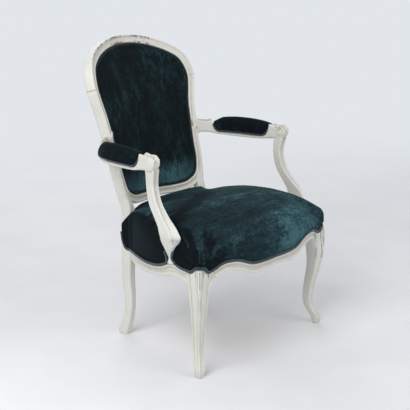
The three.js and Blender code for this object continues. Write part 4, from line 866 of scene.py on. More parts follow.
# Each key point is [out per bead, out in mm, share of the way down the show face, added height, level]
# where level 0 is read from the edge, 1 from the under edge and 2 from the rail's top
RAIL_KEYS = np.array([
    [0, -REBATE, 0, 0, 0], [0.33, 0, 0, 0, 0], [0.95, 0, 0.06, 0, 0], [0.9, 0, 0.13, 0, 0],
    [0.45, 0, 0.2, 0, 0], [-0.35, 0, 0.3, 0, 0], [-0.6, 0, 0.45, 0, 0], [-0.35, 0, 0.6, 0, 0],
    [0.3, 0, 0.69, 0, 0], [0.4, 0, 0.715, 0, 0], [0.95, 0, 0.76, 0, 0], [1.1, 0, 0.85, 0, 0],
    [0.8, 0, 0.95, 0, 0], [0, -RAIL_BEAD / 2, 1, 0, 0], [0, -1.6 * REBATE, 1, RAIL_BEAD / 2, 0],
    [0, -RAIL_THICKNESS, 0.5, 0, 0], [0, -RAIL_THICKNESS, 0, 0, 2], [0, -REBATE, 0, 0, 2],
])
RAIL_SHARP = (0, 1, 9, 15, 16, 17)


def rail_rings(line, edge, under, strength, sink):
    """The rail's section set on a plan line; strength scales the moulding and sink moves it inwards."""
    points, outward = line
    show = (edge - under)[:, None]
    out = RAIL_KEYS[:, 0] * RAIL_BEAD * strength[:, None] + RAIL_KEYS[:, 1] - sink[:, None]
    level = edge[:, None] - RAIL_KEYS[:, 2] * show + RAIL_KEYS[:, 3]
    level = np.where(RAIL_KEYS[:, 4] == 2, RAIL_TOP, level)
    rings = points[:, None] + outward[:, None] * out[..., None]
    rings[..., 2] = level
    return rings


front_shares = np.linspace(-1, 1, 241)
front_sizes = np.abs(front_shares)
front_points, front_out = front_line(front_sizes)
flip = np.stack([np.where(front_shares < 0, -1, 1), np.ones(241), np.ones(241)], -1)
front_sink = 5.0 * smooth_step(front_sizes, 0.9, 1)
front_rings = rail_rings(
    (front_points * flip, front_out * flip), front_edge(front_sizes), front_under(front_sizes),
    np.ones(241), front_sink,
)
carved("front_rail_wood", fine(front_rings, 5, RAIL_SHARP), "front_seat_rail")

side_shares = np.linspace(0, 1, 201)
side_rings = rail_rings(
    side_line(side_shares), side_edge(side_shares), side_under(side_shares),
    1 - smooth_step(side_shares, 0.75, 1), 4.0 * (1 - smooth_step(side_shares, 0, 0.09)),
)
side_rings[-1, :, 1] = SEAT_DEPTH + 1
both_sides("side_seat_rail", fine(side_rings, 5, RAIL_SHARP))
print("seat rails")

# %% [markdown]
# ## Cabriole front legs
# A front leg is thrown out at the knee, in at the ankle and out again at the foot, along the
# diagonal of the chair's corner. Its square section has a bead on each corner and a hollow on
# each face. At the knee the top edge rises in two lobes with a small dip between them, above a
# shallow border groove. A raised tongue runs down the corner, and its two side grooves meet on
# the shin.

# %% Front legs
FOOT = np.array([295.4, 16.4])
KNEE_HEIGHT, KNEE_HALF, KNEE_THROW, KNEE_DROP = 326.0, 26.0, 30.0, 15.0
LEG_POST, LEG_POST_HALF = np.array([279.0, 30.0]), 20.5
leg_shape = smooth_table([
    [0, -0.02, 0.36], [0.037, -0.05, 0.446], [0.061, -0.08, 0.46], [0.095, -0.25, 0.473],
    [0.15, -0.62, 0.477], [0.215, -0.9, 0.488], [0.3, -0.987, 0.504], [0.38, -0.89, 0.535],
    [0.46, -0.75, 0.588], [0.53, -0.577, 0.638], [0.617, -0.42, 0.692], [0.68, -0.36, 0.754],
    [0.79, -0.35, 0.846], [0.862, -0.4, 0.923], [0.925, -0.45, 0.97], [1, -0.533, 1],
])
# Key points as shares of the half width: [outwards, forwards]
LEG_FACE = np.array([
    [-1, 0.72], [-0.96, 0.93], [-0.8, 1], [-0.64, 0.97], [-0.56, 0.9], [-0.2, 0.85], [0.3, 0.86],
    [0.56, 0.92], [0.66, 1], [0.84, 0.98],
])
LEG_KEYS = np.concatenate([
    [[-1, -0.6]], LEG_FACE, [[0.95, 0.95]], LEG_FACE[::-1, ::-1], [[-0.6, -1], [-0.92, -0.92]],
])
LEG_SHARP = (4, 8, 14, 18)


def leg_rings(shares):
    """Section scaled by the half width and moved along the diagonal by the throw, at each height."""
    throw, half = leg_shape(shares)
    diagonal = np.array([1, -1]) / math.sqrt(2)
    centre = FOOT + diagonal * (KNEE_THROW * throw)[:, None]
    half = (KNEE_HALF * half)[:, None]
    return np.stack([
        centre[:, :1] + LEG_KEYS[:, 0] * half, centre[:, 1:] - LEG_KEYS[:, 1] * half,
        np.broadcast_to((KNEE_HEIGHT * shares)[:, None], (len(shares), len(LEG_KEYS))),
    ], -1)


leg_shares = np.concatenate([np.linspace(0, 0.05, 9)[:-1], np.linspace(0.05, 1, 150)])
leg_fine = fine(leg_rings(leg_shares), 5, LEG_SHARP)
leg_keys_fine = fine(np.concatenate([LEG_KEYS, np.zeros((len(LEG_KEYS), 1))], -1)[None], 5, LEG_SHARP)[0]
outness, forwardness = leg_keys_fine[:, 0], leg_keys_fine[:, 1]
leg_heights = leg_fine[:, :, 2]



def raise_leg(rise):
    """Moves the leg's points out along the diagonal of the chair's corner; a negative rise sinks them."""
    leg_fine[..., 0] += rise * math.sqrt(0.5)
    leg_fine[..., 1] -= rise * math.sqrt(0.5)


# The tongue: a raised shield on the corner, wide at the knee, whose two grooves meet on the shin
TONGUE_LOW, TONGUE_RISE = 196.0, 1.4
diagonal_out = (outness + forwardness) / 2
from_corner = (outness - forwardness)[None] * KNEE_HALF * 0.72
fade_in = smooth_step(leg_heights, TONGUE_LOW, TONGUE_LOW + 30)
tongue_half = 1.5 + 8.5 * smooth_step(leg_heights, TONGUE_LOW + 10, KNEE_HEIGHT - 15)
shield = 1 - smooth_step(np.abs(from_corner), tongue_half - 1.5, tongue_half)
ridge = TONGUE_RISE * shield - 1.5 * bump(np.abs(from_corner) - tongue_half - 1.2, 1.3)
fade_out = 1 - 0.8 * smooth_step(leg_heights, KNEE_HEIGHT - 12, KNEE_HEIGHT - 4)
raise_leg(ridge * fade_in * (diagonal_out > 0.2) * fade_out)


def tablet(share):
    """0 at both ends, a steep rise to 1, and a small dip in the middle between two lobes."""
    plateau = smooth_step(share, 0.04, 0.34) * (1 - smooth_step(share, 0.66, 0.96))
    lobes = 0.08 * bump(np.abs(share - 0.5) - 0.15, 0.08)
    return plateau + lobes - 0.1 * bump(share - 0.5, 0.05)


# The knee's arched border: a groove below the lobed top edge
knee_part = np.clip(0.5 + (outness - forwardness) / 3.1, 0, 1)
knee_top = KNEE_HEIGHT + 1.5 - KNEE_DROP * (1 - tablet(knee_part) * (diagonal_out > 0))
limit = np.minimum(leg_heights, knee_top)
leg_fine[..., 2] = limit
BORDER_DROP, BORDER_HALF, BORDER_DEPTH = 9.0, 1.6, 1.3
below = knee_top[None] - limit
raise_leg(-bump(below - BORDER_DROP, BORDER_HALF) * BORDER_DEPTH * smooth_step(diagonal_out, 0.35, 0.75))

post_power = 8
post_sum = np.abs(outness) ** post_power + np.abs(forwardness) ** post_power
post_reach = LEG_POST_HALF / post_sum ** (1 / post_power)
post_plan = np.stack([LEG_POST[0] + outness * post_reach, LEG_POST[1] - forwardness * post_reach], -1)
rounding = np.stack([
    np.concatenate([leg_fine[-1, :, :2] * (1 - share) + post_plan * share, (leg_fine[-1, :, 2:] + rise)], -1)
    for share, rise in ((0.08, 0.9), (0.25, 1.3), (1.0, 1.3))
])
post_top = np.concatenate([post_plan, np.full((len(post_plan), 1), RAIL_TOP)], -1)[None]
both_sides("front_leg", np.concatenate([leg_fine, rounding, post_top]))
print("front legs")

# %% [markdown]
# ## Arm supports
# Each support springs from a narrow neck on the side rail, swells into a broad flat paddle and
# sweeps back and up to the armrest. A ridge runs down its outer front corner, with a hollow
# beside it, and dies away on the paddle. Two sections with matching key points are blended.

# %% Arm supports
NECK_HEIGHT, NECK_SETBACK, POST_SWEEP = 343.0, 122.0, 64.0
SUPPORT_DEPTH, SUPPORT_WIDTH, SUPPORT_OUT, SUPPORT_PROUD = 64.0, 27.0, 23.0, 7.0
ARM_UNDERSIDE = 592.0
support_shape = smooth_table([
    [-0.078, 0, 0.47, 0], [-0.052, 0, 0.34, 0], [-0.028, 0, 0.26, 0], [0, 0, 0.23, 0],
    [0.036, 0, 0.32, 0.12], [0.108, -0.03, 0.56, 0.4], [0.2, -0.08, 0.87, 0.74], [0.26, -0.15, 1, 0.95],
    [0.307, -0.09, 0.96, 1], [0.375, 0.05, 0.83, 0.97], [0.466, 0.36, 0.64, 0.86], [0.625, 0.8, 0.49, 0.7],
    [0.81, 1, 0.43, 0.6], [0.92, 0.99, 0.46, 0.66], [1, 0.95, 0.54, 0.75],
])
NECK_SHARE = (NECK_SETBACK - SIDE_FRONT) / (SEAT_DEPTH - SIDE_FRONT)
NECK_OUTER = float(side_line(NECK_SHARE)[0][0]) + SUPPORT_PROUD
# Key points as shares of the half width and half depth: [outwards, forwards]
SHAFT_KEYS = np.array([
    [-1, -0.5], [-1, 0.3], [-0.99, 0.78], [-0.86, 0.97], [-0.66, 0.98], [-0.5, 0.88], [-0.1, 0.8],
    [0.3, 0.85], [0.52, 0.97], [0.78, 1], [0.96, 0.86], [1, 0.55], [0.95, 0.2], [0.93, -0.1],
    [0.95, -0.4], [1, -0.66], [0.93, -0.9], [0.7, -1], [0, -1], [-0.7, -1], [-0.93, -0.9],
])
PADDLE_KEYS = np.array([
    [-1, -0.5], [-1, 0.1], [-1, 0.55], [-0.93, 0.9], [-0.7, 1], [-0.45, 0.93], [-0.05, 0.72],
    [0.4, 0.52], [0.7, 0.45], [0.92, 0.4], [1, 0.26], [0.98, 0.1], [0.94, -0.08], [0.92, -0.25],
    [0.94, -0.45], [0.98, -0.62], [0.9, -0.85], [0.6, -0.98], [0, -1], [-0.6, -0.98], [-0.92, -0.85],
])
PLAIN_KEYS = np.array([
    [-1, -0.4], [-1, 0.2], [-0.96, 0.62], [-0.82, 0.86], [-0.6, 0.96], [-0.36, 0.99], [-0.05, 1],
    [0.3, 1], [0.6, 0.96], [0.82, 0.86], [0.95, 0.66], [1, 0.36], [1, 0.12], [1, -0.1],
    [1, -0.36], [0.95, -0.62], [0.82, -0.85], [0.55, -0.97], [0, -1], [-0.55, -0.97], [-0.86, -0.82],
])
SUPPORT_SHARP = (5, 8)


def support_rings(shares):
    """Neck, paddle and shaft sections mixed by height, scaled by the table and set on the sweep."""
    sweep, depth, out = support_shape(shares)
    to_shaft = smooth_step(shares, 0.3, 0.62)[:, None, None]
    to_paddle = smooth_step(shares, 0.1, 0.24)[:, None, None]
    keys = PADDLE_KEYS + (SHAFT_KEYS - PADDLE_KEYS) * to_shaft
    keys = PLAIN_KEYS + (keys - PLAIN_KEYS) * to_paddle
    x = NECK_OUTER + SUPPORT_OUT * out - SUPPORT_WIDTH / 2
    y = NECK_SETBACK + POST_SWEEP * sweep
    height = NECK_HEIGHT + (ARM_UNDERSIDE - NECK_HEIGHT) * shares
    return np.stack([
        x[:, None] + keys[..., 0] * SUPPORT_WIDTH / 2,
        y[:, None] - keys[..., 1] * (SUPPORT_DEPTH * depth / 2)[:, None],
        np.broadcast_to(height[:, None], keys.shape[:2]),
    ], -1)


NECK_FOOT = (float(side_edge(NECK_SHARE)) + 0.3 - NECK_HEIGHT) / (ARM_UNDERSIDE - NECK_HEIGHT)
support_shares = np.linspace(NECK_FOOT, 1.02, 181)
both_sides("arm_support", fine(support_rings(support_shares), 5, SUPPORT_SHARP))
print("arm supports")

# %% [markdown]
# ## Armrests
# The armrest swings in from the scroll to the back post. Its top is cut down for the pad and
# rises again at both ends. The front turns over in a scroll with a reed down its rounded face.
# Its inner side carries a small raised eye within a curled groove, its outer side an upright
# groove with a soft reed before it, and the wood is cut back below its front.

# %% Armrests
ARM_X, ARM_FRONT, ARM_JOINT_X, ARM_JOINT_HEIGHT = 306.0, 158.0, 203.0, 620.0
SCROLL_HEIGHT, ARM_WOOD_WIDTH = 46.0, 38.0
ARM_RUN = float(back_point(ARM_JOINT_X, ARM_JOINT_HEIGHT, FRAME_THICKNESS / 2)[1]) - ARM_FRONT
arm_shape = smooth_table([
    [0, -0.035, 0.7, 0, 0.74], [0.026, -0.035, 0.79, -0.02, 0.78], [0.045, -0.033, 0.89, -0.01, 0.86],
    [0.07, -0.03, 0.945, 0, 0.9], [0.11, -0.022, 0.94, 0, 0.9], [0.13, -0.015, 0.925, 0, 0.9],
    [0.15, -0.008, 0.94, -0.01, 0.9], [0.175, -0.001, 0.965, -0.02, 0.92],
    [0.2, 0.004, 0.985, -0.04, 0.94], [0.245, 0.012, 0.97, -0.09, 0.97],
    [0.3, 0.02, 0.9, -0.13, 1], [0.5, 0.085, 0.9, -0.17, 1], [0.65, 0.16, 0.9, -0.17, 1],
    [0.78, 0.29, 0.92, -0.13, 0.94], [0.86, 0.43, 0.94, -0.07, 0.85], [0.905, 0.55, 0.92, 0.0, 0.76],
    [0.94, 0.7, 0.9, 0.06, 0.64], [0.975, 0.88, 0.99, 0.05, 0.62], [1, 1, 1.2, -0.08, 0.72],
    [1.03, 1.07, 1.4, -0.2, 0.8],
])
PAD_SEAT_SHARE, NOTCH_FROM, NOTCH_TO, NOTCH_FLARE, NOTCH_STEP = 0.1, 0.2, 0.9, 0.09, 0.08


def arm_place(share):
    """Centre line, top, underside and half width of the armrest. The pad's notch begins and ends in a
    quarter round, sqrt(1 - flare ^ 2)."""
    inward, full, under, wide = arm_shape(share)
    flare = np.clip((NOTCH_FROM + NOTCH_FLARE - share) / NOTCH_FLARE, 0, 1)
    rear_flare = np.clip((share - NOTCH_TO + NOTCH_STEP) / NOTCH_STEP, 0, 1)
    notch = np.sqrt((1 - flare ** 2) * (1 - rear_flare ** 2))
    top = full + (PAD_SEAT_SHARE - full) * notch
    x = ARM_X - (ARM_X - ARM_JOINT_X) * inward
    y = ARM_FRONT + ARM_RUN * share
    high, low = (ARM_UNDERSIDE + SCROLL_HEIGHT * level for level in (top, under))
    return x, y, high, low, ARM_WOOD_WIDTH * wide / 2


def arm_side(share):
    """The direction square to the armrest's centre line, pointing outwards."""
    ahead, behind = arm_place(share + 0.01), arm_place(np.maximum(share - 0.01, 0))
    along = unit(np.stack([ahead[0] - behind[0], ahead[1] - behind[1], np.zeros_like(share)], -1))
    return np.stack([along[..., 1], -along[..., 0], along[..., 2]], -1)


# Key points as shares of the half width and half height: [outwards, up]
ARM_KEYS = np.array([
    [-1, -0.4], [-1, 0.3], [-0.99, 0.72], [-0.86, 0.97], [-0.66, 1], [-0.46, 0.93], [-0.3, 0.84], [0, 0.8],
    [0.3, 0.84], [0.46, 0.93], [0.66, 1], [0.86, 0.97], [0.99, 0.72], [1, 0.3], [1, -0.4], [0.94, -0.82],
    [0.72, -1], [0, -1], [-0.72, -1], [-0.94, -0.82],
])
ARM_SHARP = (5, 9)


def arm_rings(shares):
    """The reeded section set square to the centre line, scaled between underside and top."""
    x, y, top, under, half = arm_place(shares)
    side = arm_side(shares)
    centre = np.stack([x, y, (top + under) / 2], -1)
    across = (ARM_KEYS[:, 0] * half[:, None])[..., None]
    rise = (ARM_KEYS[:, 1] * ((top - under) / 2)[:, None])[..., None]
    return centre[:, None] + side[:, None] * across + np.array([0, 0, 1.0]) * rise


arm_shares = np.concatenate([
    np.linspace(0.026, 0.19, 75), NOTCH_FROM + NOTCH_FLARE * np.linspace(0, 1, 50) ** 2,
    np.linspace(0.3, 0.81, 80), NOTCH_TO - NOTCH_STEP * np.linspace(1, 0, 60) ** 2,
    np.linspace(0.903, 1.02, 50),
])
arm_fine = fine(arm_rings(arm_shares), 12, ARM_SHARP)
NOSE_DEPTH, NOSE_END = 5.0, 0.72
nose_angles = np.linspace(0, math.pi / 2, 12)[:-1]
nose = []
first_ring = arm_fine[0]
first_centre = first_ring.mean(0)
for angle in nose_angles[::-1]:
    scaled_ring = first_centre + (first_ring - first_centre) * (NOSE_END + 0.28 * math.cos(angle))
    nose.append(scaled_ring - np.array([0, NOSE_DEPTH * math.sin(angle), 0]))
arm_whole = np.concatenate([np.stack(nose[:-1]), arm_fine])

# A round eye within a curled groove on the scroll's inner side, an upright groove that leaves a
# rounded reed on its outer side, and a reed down its front face
EYE_RADIUS, EYE_RISE, EYE_BACK, EYE_HEIGHT = 9.4, 1.8, 20.0, 613.5
RIM_RADIUS, CURL_INSET, CURL_DEPTH, CURL_HALF = 16, 6.5, 1.7, 1.1
GROOVE_BACK, GROOVE_DEPTH, GROOVE_HALF, UNDERCUT = 32.0, 3.0, 2.5, 10
SIDE_REED, SIDE_REED_AHEAD, SIDE_REED_HALF, FRONT_REED, FRONT_REED_HALF = 1.2, 13, 7, 3.2, 3.6
arm_middle = float(arm_place(EYE_BACK / ARM_RUN)[0])
across = arm_whole[..., 0] - arm_middle
# These two are windows on the armrest's own numbers, so they follow when its points move
ahead, level = arm_whole[..., 1], arm_whole[..., 2]
scroll_top = ARM_UNDERSIDE + SCROLL_HEIGHT * 0.94
flat_side = smooth_step(np.abs(across), 11.0, 13.5)
from_eye = np.hypot(ahead - ARM_FRONT - EYE_BACK, level - EYE_HEIGHT)
eye = EYE_RISE * (1 - smooth_step(from_eye, EYE_RADIUS - 1.6, EYE_RADIUS))
eye = eye - bump(from_eye - EYE_RADIUS - 0.9, 1.0)
rim_ahead = np.maximum(RIM_RADIUS - (ahead - ARM_FRONT - 3), 0)
rim_above = np.maximum(RIM_RADIUS - (scroll_top - level), 0)
from_rim = RIM_RADIUS - np.hypot(rim_ahead, rim_above)
curled = -CURL_DEPTH * bump(from_rim - CURL_INSET, CURL_HALF)
curled = curled * (1 - smooth_step(ahead, ARM_FRONT + 24, ARM_FRONT + 44)) * smooth_step(level, 592, 604)
from_groove = ahead - ARM_FRONT - GROOVE_BACK
outer_groove = -GROOVE_DEPTH * bump(from_groove, GROOVE_HALF) * smooth_step(level, 588, 600)
outer_groove += SIDE_REED * bump(from_groove + SIDE_REED_AHEAD, SIDE_REED_HALF) * smooth_step(level, 590, 605)
arm_whole[..., 0] += np.where(across < 0, -(eye + curled), outer_groove) * flat_side
level += 0.7 * outer_groove * (across > -3) * smooth_step(level, scroll_top - 9, scroll_top - 3)
front_face = 1 - smooth_step(ahead, ARM_FRONT + 9, ARM_FRONT + 19)
reed = FRONT_REED * bump(across, FRONT_REED_HALF) * front_face * smooth_step(level, 594, 606)
undercut = UNDERCUT * (1 - smooth_step(level, 588, 614))
undercut = undercut * (1 - smooth_step(ahead, ARM_FRONT + 4, ARM_FRONT + 30))
ahead += reed + undercut
both_sides("armrest", arm_whole)
print("armrests", arm_whole.shape)

# %% [markdown]
# ## Hidden wood and cloth
# Corner blocks, the rear rail and the pegs keep their CAD shapes, because their edges are plain
# and sharp on a real chair too. So do the webbing straps and the canvas. They only need their
# finishes, raw on all but the rear rail, which is painted; they show from below and behind.

# %% Finishes for the kept CAD pieces
KEPT = {
    beech: ("front_corner_block_left", "front_corner_block_right", "rear_corner_block_left",
            "rear_corner_block_right", "arm_support_peg_left", "arm_support_peg_right"),
    paint: ("rear_seat_rail",),
    webbing: tuple(n for n in nodes if "_web_" in n),
    canvas: ("seat_canvas",),
}
for finish, names in KEPT.items():
    for name in names:
        nodes[name].data.materials.clear()
        nodes[name].data.materials.append(finish)
print("kept pieces", sum(len(names) for names in KEPT.values()))

# %% [markdown]
# ## Stuffed pieces
# A cushion is a skin under tension, held along its edge by tacks. Each one starts as a close,
# even mesh of its own space, drawn in a little. Its tacked edge is pinned, a cloth simulation
# blows the rest out, and no point may move further than a cap. The result is kept and the
# simulation is taken off. Where wood passes through a cushion, the space it needs is then cut out.

# %% Cushion helpers
def near(points, line, reach):
    """For each point, 1 on the tacked line, falling to 0 at the reach, all in metres."""
    tree = KDTree(len(line))
    for index, point in enumerate(line):
        tree.insert(point, index)
    tree.balance()
    distance = np.array([tree.find(point)[2] for point in points])
    return 1 - smooth_step(distance, reach * 0.5, reach)


def vertex_places(mesh):
    """Every point of a mesh as one array."""
    values = np.zeros(len(mesh.vertices) * 3, np.float32)
    mesh.vertices.foreach_get("co", values)
    return values.reshape(-1, 3).astype(float)


def vertex_normals(mesh):
    """Every point's normal as one array."""
    values = np.zeros(len(mesh.vertices) * 3, np.float32)
    mesh.vertex_normals.foreach_get("vector", values)
    return values.reshape(-1, 3).astype(float)


def move_to(mesh, places):
    """Puts every point of a mesh at its new place."""
    mesh.vertices.foreach_set("co", places.ravel().astype(np.float32))
    mesh.update()


def finished(piece):
    """The piece's mesh as its modifiers leave it; the modifiers are taken off."""
    graph = bpy.context.evaluated_depsgraph_get()
    mesh = bpy.data.meshes.new_from_object(piece.evaluated_get(graph), depsgraph=graph)
    piece.modifiers.clear()
    piece.data = mesh
    return mesh


def even_mesh(piece, voxel, smoothing):
    """The piece's space in even faces, and the same points with every bend softened."""
    weld = piece.modifiers.new("weld", "WELD")
    weld.merge_threshold = 0.00001
    remesh = piece.modifiers.new("remesh", "REMESH")
    remesh.mode = "VOXEL"
    remesh.voxel_size = voxel
    start = vertex_places(finished(piece))
    smooth = piece.modifiers.new("smooth", "SMOOTH")
    smooth.factor = 0.5
    smooth.iterations = smoothing
    softened = vertex_places(finished(piece))
    move_to(piece.data, start)
    return start, softened


CLOTH_FRAMES = 20


def blown_out(piece, placed, pinned, pressure, cap):
    """Blows the drawn-in skin out from inside; shifts longer than the cap are cut to it."""
    group = piece.vertex_groups.new(name="tacked")
    for index in np.nonzero(pinned > 0.02)[0].tolist():
        group.add([index], float(pinned[index]), "REPLACE")
    cloth = piece.modifiers.new("cloth", "CLOTH")
    settings = cloth.settings
    settings.quality = 6
    settings.mass = 0.3
    settings.use_pressure = True
    settings.uniform_pressure_force = pressure
    settings.vertex_group_mass = "tacked"
    settings.effector_weights.gravity = 0
    settings.tension_stiffness = settings.compression_stiffness = 12
    cloth.point_cache.frame_start = 1
    cloth.point_cache.frame_end = CLOTH_FRAMES
    for number in range(1, CLOTH_FRAMES + 1):
        bpy.context.scene.frame_set(number)
    shift = vertex_places(finished(piece)) - placed
    bpy.context.scene.frame_set(1)
    length = np.linalg.norm(shift, axis=1, keepdims=True)
    print(piece.name, "points", len(placed), "mean move mm", round(float(length.mean() * 1000), 2),
          "most", round(float(length.max() * 1000), 2))
    return placed + shift * np.minimum(1, cap / np.maximum(length, 1e-9))


def stuffed(name, node, source, material, tacks, flat, *, voxel=0.005, draw_in, cap, pressure, tack_reach,
            smoothing=8, cutters=(), seams=None):
    """A cushion from a closed mesh: even faces, pinned near its tacks and where it rests, drawn in along
    its normals, blown out, held within the cap, subdivided once and cut free of the wood."""
    piece = bpy.data.objects.new(name, source)
    bpy.context.scene.collection.objects.link(piece)
    start, softened = even_mesh(piece, voxel, smoothing)
    normals = vertex_normals(piece.data)
    pinned = np.maximum(near(start, tacks, tack_reach), flat(start, normals))
    free = (1 - pinned)[:, None]
    placed = start + (softened - start) * free - normals * draw_in * free
    move_to(piece.data, placed)
    move_to(piece.data, blown_out(piece, placed, pinned, pressure, cap))
    finer = piece.modifiers.new("finer", "SUBSURF")
    finer.levels = finer.render_levels = 1
    if cutters:
        finished(piece)
        smooth_places = vertex_places(piece.data)
        move_to(piece.data, smooth_places + vertex_normals(piece.data) * seams(smooth_places)[:, None])
        for number, cutter in enumerate(cutters):
            tool = bpy.data.objects.new(f"cutter_{number}", grid_mesh("cutter", cutter))
            bpy.context.scene.collection.objects.link(tool)
            cut = piece.modifiers.new("cut", "BOOLEAN")
            cut.operation = "DIFFERENCE"
            cut.solver = "MANIFOLD"
            cut.object = tool
            finished(piece)
            bpy.data.objects.remove(tool)
        piece.data.set_sharp_from_angle(angle=math.radians(50))
        print(name, "faces after the cuts", len(piece.data.polygons))
    else:
        piece.data.polygons.foreach_set("use_smooth", [True] * len(piece.data.polygons))
    piece.data.materials.clear()
    piece.data.materials.append(material)
    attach(piece, "root")
    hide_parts(node)
    return piece


print("cushion helpers ready")

# %% [markdown]
# ## The seat's own form
# The velvet is tacked along the rail's waving edge, swells out over it, rolls over a soft
# shoulder and rises to a crown. Its skin is worked out as rows from the underside over the edge,
# flank and shoulder to the crown, each row running once round the chair.

# %% The seat's edge line
WELT_HEIGHT, WELT_THICKNESS, GAP, VELVET_SKIN = 8.0, 4.6, 0.3, 4.6
SEAT_SHOULDER, SHOULDER_WAVE, SEAT_CROWN, SEAT_BULGE, SEAT_ROLL = 396.0, 36.0, 446.0, 13.0, 10.0
SEAT_BASE, SEAT_REAR, REAR_SHOULDER = 349.4, 429.0, 407.0
CROWN_PLACE, CROWN_POWER, REAR_POWER = 0.58, 3.2, 5.0
KNEE_HUMP, SEAT_UNDERSIDE = 15.3, 300
shoulder_wave = smooth_table([
    [-0.085, 0.24], [-0.03, 0.06], [0.02, 0], [0.11, 0.18], [0.25, 0.5], [0.45, 0.82], [0.7, 0.96],
    [0.84, 0.9], [0.93, 0.66], [0.985, 0.32], [1.03, -0.1], [1.06, -0.42], [1.08, -0.72], [1.1, -0.75],
])
wrap_shape = smooth_table([
    [0, 0, 0], [0.35, 0.44, 0.05], [0.58, 0.66, 0.37], [0.8, 0.82, 0.83], [1, 0.93, 1.66],
])


def seat_half(per):
    """The right half of the velvet's lower edge: places, outward directions, edge heights, how much the
    flank swells, and how thick the velvet lies over the post. It has per points for each short step."""
    front, knee = np.linspace(0, 1, 12 * per)[:-1], np.linspace(0, 1, 5 * per)[:-1]
    side, wrap = np.linspace(0, 1, 16 * per)[:-1], np.linspace(0, 1, 3 * per)
    deep, climb = wrap_shape(wrap)
    wrap_y = SEAT_DEPTH + STILE_DEPTH * deep
    wrap_line = plan(np.full(len(wrap), STILE_OUTER), wrap_y, np.ones(len(wrap)), 0 * wrap)
    lines = [front_line(front), corner_line(knee), side_line(side), wrap_line]
    knee_level = front_edge(1.0) + (side_edge(0.0) - front_edge(1.0)) * knee + KNEE_HUMP * tablet(knee)
    wrap_level = side_edge(1.0) + SIDE_WAVE * climb
    level = np.concatenate([front_edge(front), knee_level, side_edge(side), wrap_level])
    side_swell = 1 - 0.75 * smooth_step(side, 0.35, 1.02)
    swell = np.concatenate([0 * front + 1, 0 * knee + 1, side_swell, 0.25 * (1 - wrap)])
    cover = np.concatenate([0 * front, 0 * knee, smooth_step(side, 0.86, 1), 0 * wrap + 1]) * VELVET_SKIN
    points, outward = (np.concatenate([line[k] for line in lines]) for k in (0, 1))
    return points, outward, level, swell, cover


# %% The seat's skin
def seat_outline(per):
    """The whole edge line: the right half, the straight rear edge, and their mirror."""
    points, outward, level, swell, cover = seat_half(per)
    rear_x = np.linspace(0.86 * STILE_OUTER, 0, 4 * per)
    rear = plan(rear_x, np.full(len(rear_x), SEAT_REAR), 0 * rear_x, 0 * rear_x + 1)
    points, outward = (np.concatenate([a, b]) for a, b in zip((points, outward), rear))
    level = np.concatenate([level, 0 * rear_x + SEAT_BASE - 2])
    swell, cover = (np.concatenate([values, 0 * rear_x]) for values in (swell, cover))
    back = slice(-2, 0, -1)
    points, outward = (np.concatenate([v, v[back] * (-1, 1, 1)]) for v in (points, outward))
    return (points, outward, *(np.concatenate([v, v[back]]) for v in (level, swell, cover)))


def seat_rings(per=5):
    """Rows from the underside, out to the edge, up the flank, over the shoulder and in to the crown:
    crown height = rim + (crown - rim) x (1 - share ^ power), share being the way out to the rim. The
    power grows towards the rear, where the stuffing fills the space under the back's lower rail."""
    points, outward, level, swell, cover = seat_outline(per)
    shoulder = SEAT_SHOULDER + SHOULDER_WAVE * shoulder_wave(points[:, 1] / SEAT_DEPTH)
    at_rear = smooth_step(points[:, 1], 400, 425) * (1 - smooth_step(np.abs(points[:, 0]), 110, 185))
    shoulder += (REAR_SHOULDER - shoulder) * at_rear
    foot = level + GAP
    top_of_edge = foot + WELT_HEIGHT
    rise = shoulder - top_of_edge

    def row(out, height):
        return np.stack([*(points + outward * out[:, None])[:, :2].T, height], -1)

    zero = 0 * level
    rim = row(zero - 1.5 * SEAT_ROLL, shoulder + 0.32 * SEAT_ROLL)
    flank_keys = np.stack([
        row(0.2 * cover, foot), row(0.65 * cover, top_of_edge),
        row(SEAT_BULGE * 0.6 * swell + cover, top_of_edge + 0.2 * rise),
        row(SEAT_BULGE * swell + cover, top_of_edge + 0.5 * rise),
        row(SEAT_BULGE * 0.78 * swell + cover, top_of_edge + 0.8 * rise),
        row(cover - 0.2 * SEAT_ROLL, shoulder - 0.02 * rise), rim,
    ])
    middle = np.array([0, SEAT_DEPTH * CROWN_PLACE, SEAT_CROWN])
    share = np.linspace(0.97, 0.03, 30)[:, None, None]
    crown = middle + (rim - middle) * share
    power = CROWN_POWER + REAR_POWER * smooth_step(rim[:, 1], 380, 420)
    crown[..., 2] = rim[:, 2] + (SEAT_CROWN - rim[:, 2]) * (1 - share[..., 0] ** power)
    count = len(flank_keys)
    table = np.column_stack([np.arange(count), flank_keys.reshape(count, -1)])
    flank = smooth_table(table)(np.linspace(0, count - 1, 32)).T.reshape(32, -1, 3)
    low = middle * (1, 1, 0) + (0, 0, SEAT_UNDERSIDE)
    under = [low + (rim * (1, 1, 0) + (0, 0, SEAT_UNDERSIDE) - low) * part for part in (0.03, 0.4, 0.8)]
    under += [row(zero - 15, foot), row(zero - 8, foot)]
    return np.concatenate([np.stack(under), flank, crown])


# %% Wood that passes through the seat
def widened(rings, clearance):
    """Each ring stretched in plan about its middle so that it stands off by the clearance."""
    low, high = rings.min(1, keepdims=True), rings.max(1, keepdims=True)
    half = np.maximum((high - low) / 2, 1)
    return (low + high) / 2 + (rings - (low + high) / 2) * (1 + clearance / half * (1, 1, 0))


